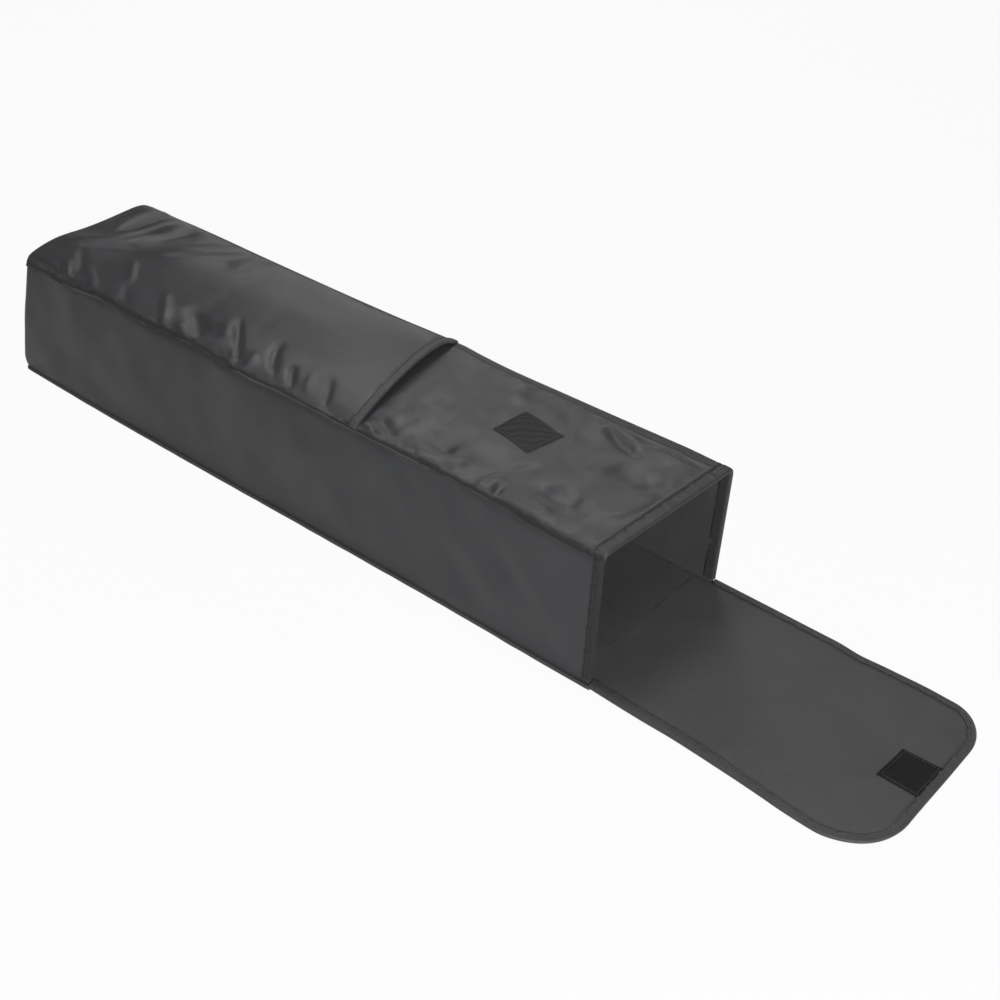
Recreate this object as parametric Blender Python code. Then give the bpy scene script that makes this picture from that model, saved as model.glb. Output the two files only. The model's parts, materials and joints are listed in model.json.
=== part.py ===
"""A soft gift wrap organizer: a long box bag of woven cloth with boards in its walls.

One end is open. The floor runs on past the open end as a flap, which folds up over the
mouth and then back over the top, where its hook patch grips a loop patch. A slip pocket
with its mouth towards the open end lies on the top.

Metres, +Z up. X runs along the bag towards its mouth, and the origin is the middle of
the floor's underside. The near side is at -Y.
"""

import math

import bpy
from mathutils import Matrix, Vector

# Thickness of what the bag is sewn from, and the clearance between two pieces
CLOTH = 0.0008
LINING = 0.0006
BOARD = 0.0020
TAPE = 0.0008
GAP = 0.0003

# The box, measured over its wall cloth
WALL_LENGTH = 0.841
WALL_WIDTH = 0.208
SEAM_HEIGHT = 0.144
CORNER_RADIUS = 0.008
SIDE_BOW = 0.004
TOP_INSET = 0.010
END_INSET = 0.004
NEAR_SETBACK = 0.009
FAR_SETBACK = 0.0005
TOP_CROWN = 0.005

# Piping in the long seams, and the tape folded over the mouth's edges
PIPING_RADIUS = 0.0018
MOUTH_LEG = 0.009

# The slip pocket, from the closed end to its mouth along each side
POCKET_NEAR = 0.521
POCKET_FAR = 0.487
POCKET_ROOM = 0.009
HEM_WIDTH = 0.008

# The loop patch on the top and the hook patch on the flap
LOOP_LENGTH = 0.050
LOOP_WIDTH = 0.056
LOOP_THICKNESS = 0.0015
LOOP_FROM_MOUTH = 0.179
LOOP_OFFSET = 0.010
HOOK_LENGTH = 0.042
HOOK_WIDTH = 0.050
HOOK_THICKNESS = 0.0015

# The flap, from its hinge to its outer edge
FLAP_LENGTH = 0.3095
FLAP_FLARE = 0.014
FLAP_DRIFT = 0.009
FLAP_RADIUS = 0.052
FLAP_LEG = 0.007
CLOSED_CLEARANCE = 0.0005

# How finely the curved shapes are divided
SIDE_STEPS = 12
ACROSS_STEPS = 10
CORNER_STEPS = 5
FOLD_STEPS = 4
PATCH_STEPS = 4
PIPING_STEPS = 2
SMOOTH_ANGLE = math.radians(40)

# Layers of the wall, the floor and the flap
WALL_STACK = CLOTH + GAP + BOARD + GAP + LINING
TOP_STACK = CLOTH + GAP + LINING
TONGUE_STACK = CLOTH + GAP + LINING
BOARD_DEPTH = CLOTH + GAP
LINING_DEPTH = BOARD_DEPTH + BOARD + GAP
TOP_LINING_DEPTH = WALL_STACK + GAP + TAPE + GAP
FLAP_FLOOR = TAPE + GAP
FLAP_FRONT_TOP = FLAP_FLOOR + WALL_STACK + GAP + TAPE

# Heights of the seams
WALL_FOOT = CLOTH + GAP
WALL_HEAD = SEAM_HEIGHT - CLOTH - GAP
TOP_PIPING_HEIGHT = SEAM_HEIGHT - CLOTH
BOTTOM_PIPING_HEIGHT = PIPING_RADIUS + GAP
BINDING_FOOT = WALL_STACK + GAP
BINDING_HEAD = TOP_PIPING_HEIGHT - PIPING_RADIUS - GAP

# The flap's first fold line, at the floor's front edge, and its outer edge
HINGE_X = WALL_LENGTH / 2 + GAP
HINGE_Z = FLAP_FRONT_TOP
HOOK_FACE = FLAP_FLOOR + TONGUE_STACK + GAP + HOOK_THICKNESS
FLAP_END = HINGE_X + FLAP_LENGTH
FLAP_ROOT_HALF = WALL_WIDTH / 2 + GAP + PIPING_RADIUS + PIPING_RADIUS

# Colours as seen in daylight: charcoal cloth, black patches, grey lining and boards
FINISHES = {
    "charcoal_cloth": ((0.062, 0.064, 0.067), 0.55),
    "charcoal_tape": ((0.050, 0.052, 0.055), 0.60),
    "grey_lining": ((0.075, 0.075, 0.076), 0.65),
    "black_loop": ((0.030, 0.031, 0.033), 0.95),
    "black_hook": ((0.016, 0.016, 0.017), 0.80),
    "grey_board": ((0.300, 0.290, 0.270), 0.85),
}


def material(finish):
    """The material of that name, made once."""
    if finish in bpy.data.materials:
        return bpy.data.materials[finish]
    made = bpy.data.materials.new(finish)
    made.use_nodes = True
    shader = made.node_tree.nodes["Principled BSDF"]
    colour, roughness = FINISHES[finish]
    shader.inputs["Base Color"].default_value = (*colour, 1)
    shader.inputs["Roughness"].default_value = roughness
    shader.inputs["Metallic"].default_value = 0
    return made


def sheet(name, rows, thickness, side, finish):
    """A sheet of even thickness on rows of points, thickened along its normals or against them."""
    columns = len(rows[0])
    points = [point for row in rows for point in row]
    faces = []
    for i in range(len(rows) - 1):
        for j in range(columns - 1):
            first = i * columns + j
            faces.append((first, first + columns, first + columns + 1, first + 1))
    mesh = bpy.data.meshes.new(name)
    mesh.from_pydata(points, [], faces)
    mesh.shade_smooth()
    mesh.set_sharp_from_angle(angle=SMOOTH_ANGLE)
    made = bpy.data.objects.new(name, mesh)
    bpy.context.scene.collection.objects.link(made)
    thicken = made.modifiers.new("thickness", "SOLIDIFY")
    thicken.thickness = thickness
    thicken.offset = side
    thicken.use_even_offset = True
    made.data.materials.append(material(finish))
    return made


def welt(name, points, radius, finish):
    """A round cord under cloth that follows the points."""
    line = bpy.data.curves.new(name, "CURVE")
    line.dimensions = "3D"
    line.bevel_depth = radius
    line.bevel_resolution = PIPING_STEPS
    line.use_fill_caps = True
    spline = line.splines.new("POLY")
    spline.points.add(len(points) - 1)
    for target, point in zip(spline.points, points):
        target.co = (*point, 1)
    made = bpy.data.objects.new(name, line)
    bpy.context.scene.collection.objects.link(made)
    made.data.materials.append(material(finish))
    return made


def fold_section(point, inward, up, radius, leg):
    """A tape's inner line round an edge: the lower leg, the round fold and the upper leg."""
    section = [point + inward * leg - up * radius]
    for step in range(FOLD_STEPS + 1):
        turn = math.pi * step / FOLD_STEPS
        section.append(point - up * radius * math.cos(turn) - inward * radius * math.sin(turn))
    section.append(point + inward * leg + up * radius)
    return section


def binding(name, edge, inner, up, stack, finish):
    """A tape folded over the edge of a stack of layers.

    edge and inner are points on the stack's middle, along its edge and a leg's length in.
    """
    rows = []
    for point, inside in zip(edge, inner):
        inward = inside - point
        leg = inward.length
        inward.normalize()
        square = (up - inward * up.dot(inward)).normalized()
        rows.append(fold_section(point, inward, square, stack / 2 + GAP, leg))
    along = edge[-1] - edge[0]
    if up.cross(along).dot(inner[0] - edge[0]) < 0:
        rows.reverse()
    return sheet(name, rows, TAPE, 1, finish)


def binding_reach(stack):
    """How far a folded tape stands out past the edge of its layers."""
    return stack / 2 + GAP + TAPE


def arch(share):
    """A rise from 0 to 1 and back, for a share that goes from 0 to 1."""
    return 1 - (2 * share - 1) ** 2


def end_x(z):
    """Where the closed end's cloth stands at a height."""
    return END_INSET * z / SEAM_HEIGHT - WALL_LENGTH / 2


def mouth_x(z, across):
    """Where the mouth's front edge stands at a height, from -1 at the near side to 1 at the far side."""
    setback = (NEAR_SETBACK + FAR_SETBACK) / 2 - (NEAR_SETBACK - FAR_SETBACK) / 2 * across
    return WALL_LENGTH / 2 - setback * z / SEAM_HEIGHT


def length_share(x, z):
    return (x - end_x(z)) / (mouth_x(z, 0) - end_x(z))


def half_width(x, z, depth):
    """Half the width of the bag's plan at a height, that far inside its wall cloth."""
    bow = SIDE_BOW * arch(length_share(x, z))
    side = WALL_WIDTH / 2 + bow - TOP_INSET * z / SEAM_HEIGHT - depth
    radius = CORNER_RADIUS - depth
    into = x - end_x(z) - depth
    if into >= radius:
        return side
    return side - radius + math.sqrt(max(0, radius**2 - (radius - into) ** 2))


def corner_stations(z, depth):
    """Places along the bag through the closed end's round corners."""
    radius = CORNER_RADIUS - depth
    turns = [math.pi / 2 * step / CORNER_STEPS for step in range(CORNER_STEPS + 1)]
    return [end_x(z) + depth + radius * (1 - math.cos(turn)) for turn in turns]


def side_stations(z, depth, front):
    """Places along the straight part of the sides, up to the front."""
    start = end_x(z) + CORNER_RADIUS
    return [start + (front - start) * step / SIDE_STEPS for step in range(SIDE_STEPS + 1)]


def plan_stations(z, depth, front):
    """Places along the whole bag, with the half width at each."""
    places = corner_stations(z, depth) + side_stations(z, depth, front)[1:]
    return [(x, half_width(x, z, depth)) for x in places]


def wall_line(z, depth, setback):
    """Points round the walls at a height: the near side, the closed end and the far side."""
    near, far = (plan_stations(z, depth, mouth_x(z, side) - setback) for side in (-1, 1))
    line = [Vector((x, -half, z)) for x, half in reversed(near)]
    return line + [Vector((x, half, z)) for x, half in far]


def crown(x, y):
    """How far the slack top stands up over its seams."""
    across = min(1, abs(y) / half_width(x, SEAM_HEIGHT, 0))
    return TOP_CROWN * arch(length_share(x, SEAM_HEIGHT)) * (1 - across**2)


def floor_sheet(name, base, thickness, depth, finish):
    """A flat layer of the floor, inside the walls by that depth."""
    top = base + thickness
    rows = []
    for x, half in plan_stations(top, depth, WALL_LENGTH / 2):
        rows.append([Vector((x, -half, base)), Vector((x, half, base))])
    return sheet(name, rows, thickness, 1, finish)


def wall_sheet(name, foot, depth, thickness, finish):
    """A layer of the wall that runs along both sides and round the closed end."""
    setback = binding_reach(WALL_STACK)
    rows = [wall_line(z, depth, setback) for z in (foot, WALL_HEAD)]
    return sheet(name, rows, thickness, -1, finish)


def side_board(name, side, foot):
    """The stiff board in one side, at -1 for the near side and 1 for the far side."""
    setback = binding_reach(WALL_STACK)
    rows = []
    for z in (foot, WALL_HEAD):
        places = side_stations(z, BOARD_DEPTH, mouth_x(z, side) - setback)
        line = [Vector((x, side * half_width(x, z, BOARD_DEPTH), z)) for x in places]
        rows.append(line)
    return sheet(name, rows, BOARD, -side, "grey_board")


def end_board(foot):
    """The stiff board in the closed end, between the round corners."""
    rows = []
    for z in (foot, WALL_HEAD):
        x = end_x(z) + BOARD_DEPTH
        half = half_width(x, z, BOARD_DEPTH)
        rows.append([Vector((x, -half, z)), Vector((x, half, z))])
    return sheet("end_board", rows, BOARD, -1, "grey_board")


def top_sheet(name, under, depth, thickness, finish):
    """A layer of the slack top, that far under its upper face."""
    fronts = [mouth_x(SEAM_HEIGHT, side) - binding_reach(TOP_STACK) for side in (-1, 1)]
    near, far = (plan_stations(SEAM_HEIGHT, depth, front) for front in fronts)
    rows = []
    for (near_x, near_half), (far_x, far_half) in zip(near, far):
        row = []
        for step in range(ACROSS_STEPS + 1):
            x = near_x + (far_x - near_x) * step / ACROSS_STEPS
            y = (near_half + far_half) * step / ACROSS_STEPS - near_half
            row.append(Vector((x, y, SEAM_HEIGHT + crown(x, y) - under - thickness)))
        rows.append(row)
    return sheet(name, rows, thickness, 1, finish)


def pocket_mouth_x(across):
    """The pocket mouth's place along the bag, from -1 at the near side to 1 at the far side."""
    middle = (POCKET_NEAR + POCKET_FAR) / 2
    slant = (POCKET_NEAR - POCKET_FAR) / 2
    return end_x(SEAM_HEIGHT) + middle - slant * across


def pocket_lift(x, across):
    """How far the pocket's cloth stands off the top, most in the middle of its mouth."""
    start = end_x(SEAM_HEIGHT)
    share = (x - start) / (pocket_mouth_x(across) - start)
    return POCKET_ROOM * share * (2 - share) * (1 - across**2)


def pocket_point(x, across, over):
    """A point that far over the underside of the pocket's cloth."""
    y = across * half_width(x, SEAM_HEIGHT, 0)
    return Vector((x, y, SEAM_HEIGHT + GAP + crown(x, y) + pocket_lift(x, across) + over))


def pocket_panel():
    """The cloth of the slip pocket, sewn down on three sides."""
    corner = corner_stations(SEAM_HEIGHT, 0)
    columns = [2 * step / ACROSS_STEPS - 1 for step in range(ACROSS_STEPS + 1)]
    rows = [[pocket_point(x, across, 0) for across in columns] for x in corner]
    for step in range(1, SIDE_STEPS + 1):
        share = step / SIDE_STEPS
        row = []
        for across in columns:
            x = corner[-1] + (pocket_mouth_x(across) - corner[-1]) * share
            row.append(pocket_point(x, across, 0))
        rows.append(row)
    return sheet("pocket_panel", rows, CLOTH, 1, "charcoal_cloth")


def pocket_hem():
    """The doubled edge along the pocket's mouth."""
    columns = [2 * step / ACROSS_STEPS - 1 for step in range(ACROSS_STEPS + 1)]
    rows = []
    for back in (HEM_WIDTH, 0):
        over = CLOTH + GAP
        rows.append([pocket_point(pocket_mouth_x(across) - back, across, over) for across in columns])
    return sheet("pocket_hem", rows, TAPE, 1, "charcoal_tape")


def loop_start():
    """The edge of the loop patch that is farther from the mouth."""
    return mouth_x(SEAM_HEIGHT, 0) - LOOP_FROM_MOUTH - LOOP_LENGTH / 2


def loop_patch():
    """The soft patch on the top that the flap grips."""
    start = loop_start()
    rows = []
    for i in range(PATCH_STEPS + 1):
        x = start + LOOP_LENGTH * i / PATCH_STEPS
        row = []
        for j in range(PATCH_STEPS + 1):
            y = LOOP_OFFSET + LOOP_WIDTH * (j / PATCH_STEPS - 1 / 2)
            row.append(Vector((x, y, SEAM_HEIGHT + crown(x, y) + GAP)))
        rows.append(row)
    return sheet("loop_patch", rows, LOOP_THICKNESS, 1, "black_loop")


def seam_piping(name, z, foot):
    """The piping round one long seam, just outside the walls."""
    line = wall_line(foot, -PIPING_RADIUS - GAP, 0)
    points = [Vector((point.x, point.y, z)) for point in line]
    return welt(name, points, PIPING_RADIUS, "charcoal_tape")


def mouth_side_binding(name, side):
    """The tape over the upright front edge of one side wall."""
    setback = binding_reach(WALL_STACK)
    edge, inner = [], []
    for z in (BINDING_FOOT, BINDING_HEAD):
        x = mouth_x(z, side) - setback
        back = x - MOUTH_LEG
        edge.append(Vector((x, side * half_width(x, z, WALL_STACK / 2), z)))
        inner.append(Vector((back, side * half_width(back, z, WALL_STACK / 2), z)))
    return binding(name, edge, inner, Vector((0, side, 0)), WALL_STACK, "charcoal_tape")


def mouth_top_binding():
    """The tape over the front edge of the top, between the side bindings."""
    half = half_width(WALL_LENGTH / 2, SEAM_HEIGHT, TOP_LINING_DEPTH)
    middle = SEAM_HEIGHT - TOP_STACK / 2
    edge, inner = [], []
    for step in range(ACROSS_STEPS + 1):
        across = 2 * step / ACROSS_STEPS - 1
        x = mouth_x(SEAM_HEIGHT, across) - binding_reach(TOP_STACK)
        y = half * across
        edge.append(Vector((x, y, middle + crown(x, y))))
        inner.append(Vector((x - MOUTH_LEG, y, middle + crown(x - MOUTH_LEG, y))))
    return binding("mouth_binding_top", edge, inner, Vector((0, 0, 1)), TOP_STACK, "charcoal_tape")


def fold_x():
    """The flap's second fold line.

    With the front panel upright against the mouth and the tongue level over the top, the
    hook patch then lies just over the loop patch.
    """
    loop_face = SEAM_HEIGHT + crown(loop_start(), 0) + GAP + LOOP_THICKNESS
    hook_drop = HINGE_Z - HOOK_FACE
    return HINGE_X + loop_face + CLOSED_CLEARANCE - hook_drop - HINGE_Z


def flap_half(x):
    """Half the flap's width over its bindings, which widens a little towards its outer edge."""
    return FLAP_ROOT_HALF + FLAP_FLARE * (x - HINGE_X) / FLAP_LENGTH


def front_stations(inset):
    """The two ends of the flap's front panel, with the half width at each."""
    return [(x, flap_half(x) - inset) for x in (HINGE_X + GAP, fold_x() - GAP)]


def tongue_stations(inset):
    """Places along the tongue through its round outer corners, with the half width at each."""
    radius = FLAP_RADIUS - inset
    outer = FLAP_END - inset
    half = flap_half(FLAP_END - FLAP_RADIUS) - inset
    stations = [(fold_x() + GAP, flap_half(fold_x()) - inset)]
    for step in range(CORNER_STEPS + 1):
        turn = math.pi / 2 * step / CORNER_STEPS
        stations.append((outer - radius * (1 - math.sin(turn)), half - radius * (1 - math.cos(turn))))
    return stations


def flap_sheet(name, stations, base, thickness, finish):
    """A flat layer of the flap."""
    rows = [[Vector((x, -half, base)), Vector((x, half, base))] for x, half in stations]
    return sheet(name, rows, thickness, 1, finish)


def front_panel():
    """The part of the flap that closes the mouth: cloth, board, lining and side tapes."""
    inset = binding_reach(WALL_STACK)
    outline = front_stations(inset)
    board_base = FLAP_FLOOR + BOARD_DEPTH
    lining_base = FLAP_FLOOR + LINING_DEPTH
    made = [
        flap_sheet("flap_front_cloth", outline, FLAP_FLOOR, CLOTH, "charcoal_cloth"),
        flap_sheet("flap_front_board", outline, board_base, BOARD, "grey_board"),
        flap_sheet("flap_front_lining", outline, lining_base, LINING, "charcoal_cloth"),
    ]
    middle = FLAP_FLOOR + WALL_STACK / 2
    for name, side in (("flap_binding_near", -1), ("flap_binding_far", 1)):
        edge = [Vector((x, side * half, middle)) for x, half in outline]
        inside = front_stations(inset + FLAP_LEG)
        inner = [Vector((x, side * half, middle)) for x, half in inside]
        made.append(binding(name, edge, inner, Vector((0, 0, 1)), WALL_STACK, "charcoal_tape"))
    return made


def rim(stations, z):
    """Points round the tongue: its near edge, its outer edge and its far edge."""
    near = [Vector((x, -half, z)) for x, half in stations]
    far = [Vector((x, half, z)) for x, half in reversed(stations)]
    return near + far


def hook_patch():
    """The stiff patch inside the flap's outer edge."""
    last = FLAP_END - FLAP_LEG - binding_reach(TONGUE_STACK) - GAP
    base = FLAP_FLOOR + TONGUE_STACK + GAP
    rows = []
    for x in (last - HOOK_LENGTH, last):
        rows.append([Vector((x, -HOOK_WIDTH / 2, base)), Vector((x, HOOK_WIDTH / 2, base))])
    return sheet("hook_patch", rows, HOOK_THICKNESS, 1, "black_hook")


def tongue():
    """The part of the flap that folds over the top: cloth, lining, tape and hook patch."""
    inset = binding_reach(TONGUE_STACK)
    outline = tongue_stations(inset)
    lining_base = FLAP_FLOOR + CLOTH + GAP
    middle = FLAP_FLOOR + TONGUE_STACK / 2
    edge = rim(outline, middle)
    inner = rim(tongue_stations(inset + FLAP_LEG), middle)
    return [
        flap_sheet("tongue_cloth", outline, FLAP_FLOOR, CLOTH, "charcoal_cloth"),
        flap_sheet("tongue_lining", outline, lining_base, LINING, "charcoal_cloth"),
        binding("tongue_binding", edge, inner, Vector((0, 0, 1)), TONGUE_STACK, "charcoal_tape"),
        hook_patch(),
    ]


def fold_line(name, x, parent):
    """An empty on one of the flap's fold lines."""
    made = bpy.data.objects.new(name, None)
    bpy.context.scene.collection.objects.link(made)
    made.parent = parent
    place = Vector((x, 0, HINGE_Z))
    made.location = place - (parent.location if parent else Vector())
    return made, place


def hang(pieces, line, place):
    """Slants the pieces towards the near side and puts their origins on their fold line."""
    slant = FLAP_DRIFT / FLAP_LENGTH
    drift = Matrix.Identity(4)
    drift[1][0] = -slant
    drift[1][3] = slant * HINGE_X
    for piece in pieces:
        piece.data.transform(Matrix.Translation(-place) @ drift)
        piece.parent = line


def bag():
    """The box of the bag, its pocket and its trims."""
    board_base = CLOTH + GAP
    lining_base = board_base + BOARD + GAP
    board_foot = lining_base
    lining_foot = lining_base + LINING + GAP
    floor_sheet("bottom_cloth", 0, CLOTH, 0, "charcoal_cloth")
    floor_sheet("bottom_board", board_base, BOARD, BOARD_DEPTH, "grey_board")
    floor_sheet("bottom_lining", lining_base, LINING, LINING_DEPTH, "grey_lining")
    wall_sheet("wall_cloth", WALL_FOOT, 0, CLOTH, "charcoal_cloth")
    wall_sheet("wall_lining", lining_foot, LINING_DEPTH, LINING, "grey_lining")
    side_board("near_board", -1, board_foot)
    side_board("far_board", 1, board_foot)
    end_board(board_foot)
    top_sheet("top_cloth", 0, 0, CLOTH, "charcoal_cloth")
    top_sheet("top_lining", CLOTH + GAP, TOP_LINING_DEPTH, LINING, "grey_lining")
    pocket_panel()
    pocket_hem()
    loop_patch()
    seam_piping("top_piping", TOP_PIPING_HEIGHT, TOP_PIPING_HEIGHT - PIPING_RADIUS)
    seam_piping("bottom_piping", BOTTOM_PIPING_HEIGHT, 0)
    mouth_side_binding("mouth_binding_near", -1)
    mouth_side_binding("mouth_binding_far", 1)
    mouth_top_binding()


def flap():
    """The flap in its two parts, each with its origin on the line that it folds about."""
    hinge, hinge_place = fold_line("flap_hinge", HINGE_X, None)
    fold, fold_place = fold_line("flap_fold", fold_x(), hinge)
    hang(front_panel(), hinge, hinge_place)
    hang(tongue(), fold, fold_place)


for old in list(bpy.data.objects):
    bpy.data.objects.remove(old)
bag()
flap()
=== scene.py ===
import json
import math
import random

import bmesh
import bpy
import numpy as np
from mathutils import Matrix, Vector


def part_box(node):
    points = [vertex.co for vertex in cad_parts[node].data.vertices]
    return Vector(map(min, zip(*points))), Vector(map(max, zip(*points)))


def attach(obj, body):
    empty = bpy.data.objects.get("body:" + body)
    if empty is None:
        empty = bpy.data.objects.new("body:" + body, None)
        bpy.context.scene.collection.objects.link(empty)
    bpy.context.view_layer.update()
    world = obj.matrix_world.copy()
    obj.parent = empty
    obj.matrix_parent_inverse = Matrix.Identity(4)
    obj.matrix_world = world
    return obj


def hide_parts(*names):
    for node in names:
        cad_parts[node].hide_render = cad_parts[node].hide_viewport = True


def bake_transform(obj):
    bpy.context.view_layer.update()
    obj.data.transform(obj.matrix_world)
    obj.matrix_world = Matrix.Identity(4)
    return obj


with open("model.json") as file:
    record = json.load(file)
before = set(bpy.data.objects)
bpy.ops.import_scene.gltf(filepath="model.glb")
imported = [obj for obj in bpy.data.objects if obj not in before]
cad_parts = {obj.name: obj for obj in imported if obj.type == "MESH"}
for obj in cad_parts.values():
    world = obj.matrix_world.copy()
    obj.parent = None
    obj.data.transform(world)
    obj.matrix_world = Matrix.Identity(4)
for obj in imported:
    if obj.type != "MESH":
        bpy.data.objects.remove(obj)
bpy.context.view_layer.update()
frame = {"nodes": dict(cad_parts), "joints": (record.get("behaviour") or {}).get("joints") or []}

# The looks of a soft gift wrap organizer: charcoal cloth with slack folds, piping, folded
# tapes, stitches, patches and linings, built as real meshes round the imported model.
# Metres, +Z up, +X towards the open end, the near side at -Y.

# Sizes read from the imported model
FLOOR_LOW, FLOOR_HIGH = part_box("bottom_cloth")
LINING_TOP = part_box("bottom_lining")[1][2]
BOARD_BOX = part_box("bottom_board")
PIPE_LOW, PIPE_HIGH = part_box("bottom_piping")
SEAM_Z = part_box("top_cloth")[0][2]
JOINTS = {joint["name"]: Vector(joint["pos_m"]) for joint in frame["joints"]}
HINGE = JOINTS["flap_hinge"]
FOLD = JOINTS["flap_fold"]
END_X = FLOOR_LOW[0]
MOUTH_X = FLOOR_HIGH[0]
CLOTH = FLOOR_HIGH[2] - FLOOR_LOW[2]
PIPING_RADIUS = (PIPE_HIGH[2] - PIPE_LOW[2]) / 2
FLAP_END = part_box("tongue_binding")[1][0]
HOOK_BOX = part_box("hook_patch")
LOOP_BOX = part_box("loop_patch")
NEAR_SETBACK = 0.0090
FAR_SETBACK = 0.0003
END_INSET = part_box("top_cloth")[0][0] - END_X

# Layers of the wall
GAP = 0.0003
BOARD = 0.0020
LINING = 0.0006
TAPE = 0.0008
NEAR_LEG = 0.0054
TOP_LEG = 0.0106
BOARD_DEPTH = CLOTH + GAP
LINING_DEPTH = BOARD_DEPTH + BOARD + GAP
WALL_STACK = LINING_DEPTH + LINING
TOP_STACK = CLOTH + GAP + LINING

# The walls in plan: half widths of the cloth at shares of the way from closed end to mouth
CORNER_RADII = {-1: 0.006, 1: 0.009}
NEAR_BASE = (
    (0, 0.1083), (0.15, 0.1109), (0.33, 0.1114), (0.55, 0.1104), (0.8, 0.1100), (0.92, 0.1114), (1, 0.1118),
)
FAR_BASE = ((0, 0.1050), (0.5, 0.1085), (1, 0.1050))
NEAR_SEAM = (
    (0, 0.0950), (0.05, 0.0966), (0.1, 0.0990), (0.16, 0.0965), (0.235, 0.0988), (0.345, 0.0945),
    (0.43, 0.1008), (0.51, 0.0985), (0.6, 0.0990), (0.7, 0.0980), (0.77, 0.0968), (0.85, 0.0972),
    (0.93, 0.1002), (1, 0.1002),
)
FAR_SEAM = (
    (0, 0.0915), (0.08, 0.0952), (0.25, 0.0962), (0.45, 0.0985), (0.5, 0.0999), (0.525, 0.1011),
    (0.56, 0.1026), (0.588, 0.1042), (0.615, 0.1024), (0.64, 0.1014), (0.8, 0.1021), (0.9, 0.1043),
    (1, 0.1066),
)
END_BULGE = ((0, 0), (0.08, 0.0045), (0.2, 0.0048), (0.4, 0.0040), (0.7, 0.0022), (1, 0.0026))
NEAR_BELLY = ((0, 0), (0.08, 0.0022), (0.2, 0.0024), (0.4, 0.0014), (0.7, -0.0008), (1, 0))
MOUTH_ROUNDING = {-1: 0.011, 1: 0.0040}
ROUNDING_SHARE = 0.93

# Spacing of the meshes
STEP = 0.0036
FINE = 0.0018
MOUTH_BAND = 0.018
CLOSEST = 0.0004
TOP_ACROSS = 0.19
FLAP_ACROSS = 0.22

# Seams: how far the sewn line is from the tape's edge, and the tapes' hidden legs
SEWN_LINE = 0.0009
MOUTH_INNER_LEG = 0.009
FLAP_INNER_LEG = 0.007


def arch(share):
    return 1 - (2 * share - 1) ** 2


def ease(low, high, value):
    """A smooth rise from 0 at low to 1 at high."""
    t = np.clip((value - low) / (high - low), 0, 1)
    return t * t * (3 - 2 * t)


def lerp(a, b, share):
    return a + (b - a) * share


def bell(offset, width, power=2):
    """1 on a line and down to 0 beside it."""
    return np.exp(-((offset / width) ** power))


def unit(vectors):
    return vectors / np.linalg.norm(vectors, axis=-1, keepdims=True)


def run_along(points):
    """Metres from a path's start to each of its points."""
    return np.concatenate([[0], np.cumsum(np.linalg.norm(np.diff(points, axis=0), axis=1))])


def along(table, share):
    """A smooth curve through a table of (share, value) points."""
    xs, ys = (np.array(column, float) for column in zip(*table))
    slopes = np.gradient(ys, xs)
    share = np.clip(share, xs[0], xs[-1])
    k = np.clip(np.searchsorted(xs, share) - 1, 0, len(xs) - 2)
    h = xs[k + 1] - xs[k]
    t = (share - xs[k]) / h
    return (
        (1 + 2 * t) * (1 - t) ** 2 * ys[k] + t * (1 - t) ** 2 * h * slopes[k]
        + t * t * (3 - 2 * t) * ys[k + 1] + t * t * (t - 1) * h * slopes[k + 1]
    )


def ripple(u, v, seed, scale, count=14):
    """Soft uneven dents between about -1 and 1, with a typical width of scale."""
    rng = random.Random(seed)
    total = np.zeros(np.broadcast(u, v).shape)
    for _ in range(count):
        turn = rng.uniform(0, math.tau)
        rate = math.tau / (scale * rng.uniform(0.7, 1.9))
        phase = rng.uniform(0, math.tau)
        total += np.sin(rate * (u * math.cos(turn) + v * math.sin(turn)) + phase)
    return total / math.sqrt(count)


def fold(u, v, start, end, width, height, peak):
    """One straight fold of the cloth from start to end, highest at the share peak of its length."""
    du, dv = end[0] - start[0], end[1] - start[1]
    length = math.hypot(du, dv)
    du, dv = du / length, dv / length
    t = ((u - start[0]) * du + (v - start[1]) * dv) / length
    side = ((v - start[1]) * du - (u - start[0]) * dv) / width
    grown = ease(0, peak, t) * (1 - ease(peak, 1, t))
    return height * grown * np.exp(-side * side)


CURVE_POINTS = 14


def curve_through(points):
    """A smooth curve through a few points of the plan."""
    points = np.array(points, float)
    run = run_along(points)
    shares = np.linspace(0, run[-1], CURVE_POINTS)
    return np.stack([along(list(zip(run, points[:, k])), shares) for k in (0, 1)], axis=1)


def crease(u, v, points, width, height, lean, peak):
    """A fold along a curve, steeper on its left side with lean above 0, on its right below 0."""
    line = curve_through(points)
    lengths = np.linalg.norm(np.diff(line, axis=0), axis=1)
    total = lengths.sum()
    nearest = np.full(np.broadcast(u, v).shape, np.inf)
    side = np.zeros_like(nearest)
    place = np.zeros_like(nearest)
    before = 0.0
    for start, end, length in zip(line, line[1:], lengths):
        du, dv = (end - start) / length
        t = np.clip((u - start[0]) * du + (v - start[1]) * dv, 0, length)
        out_u, out_v = u - start[0] - t * du, v - start[1] - t * dv
        gap = np.hypot(out_u, out_v)
        closer = gap < nearest
        nearest = np.where(closer, gap, nearest)
        side = np.where(closer, np.sign(out_v * du - out_u * dv), side)
        place = np.where(closer, (before + t) / total, place)
        before += length
    scaled = nearest / width * np.where(side > 0, 1 + lean, 1 - lean)
    grown = ease(0, peak, place) * (1 - ease(lerp(peak, 1, 0.4), 1, place))
    return height * grown * np.exp(-scaled * scaled)


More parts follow.
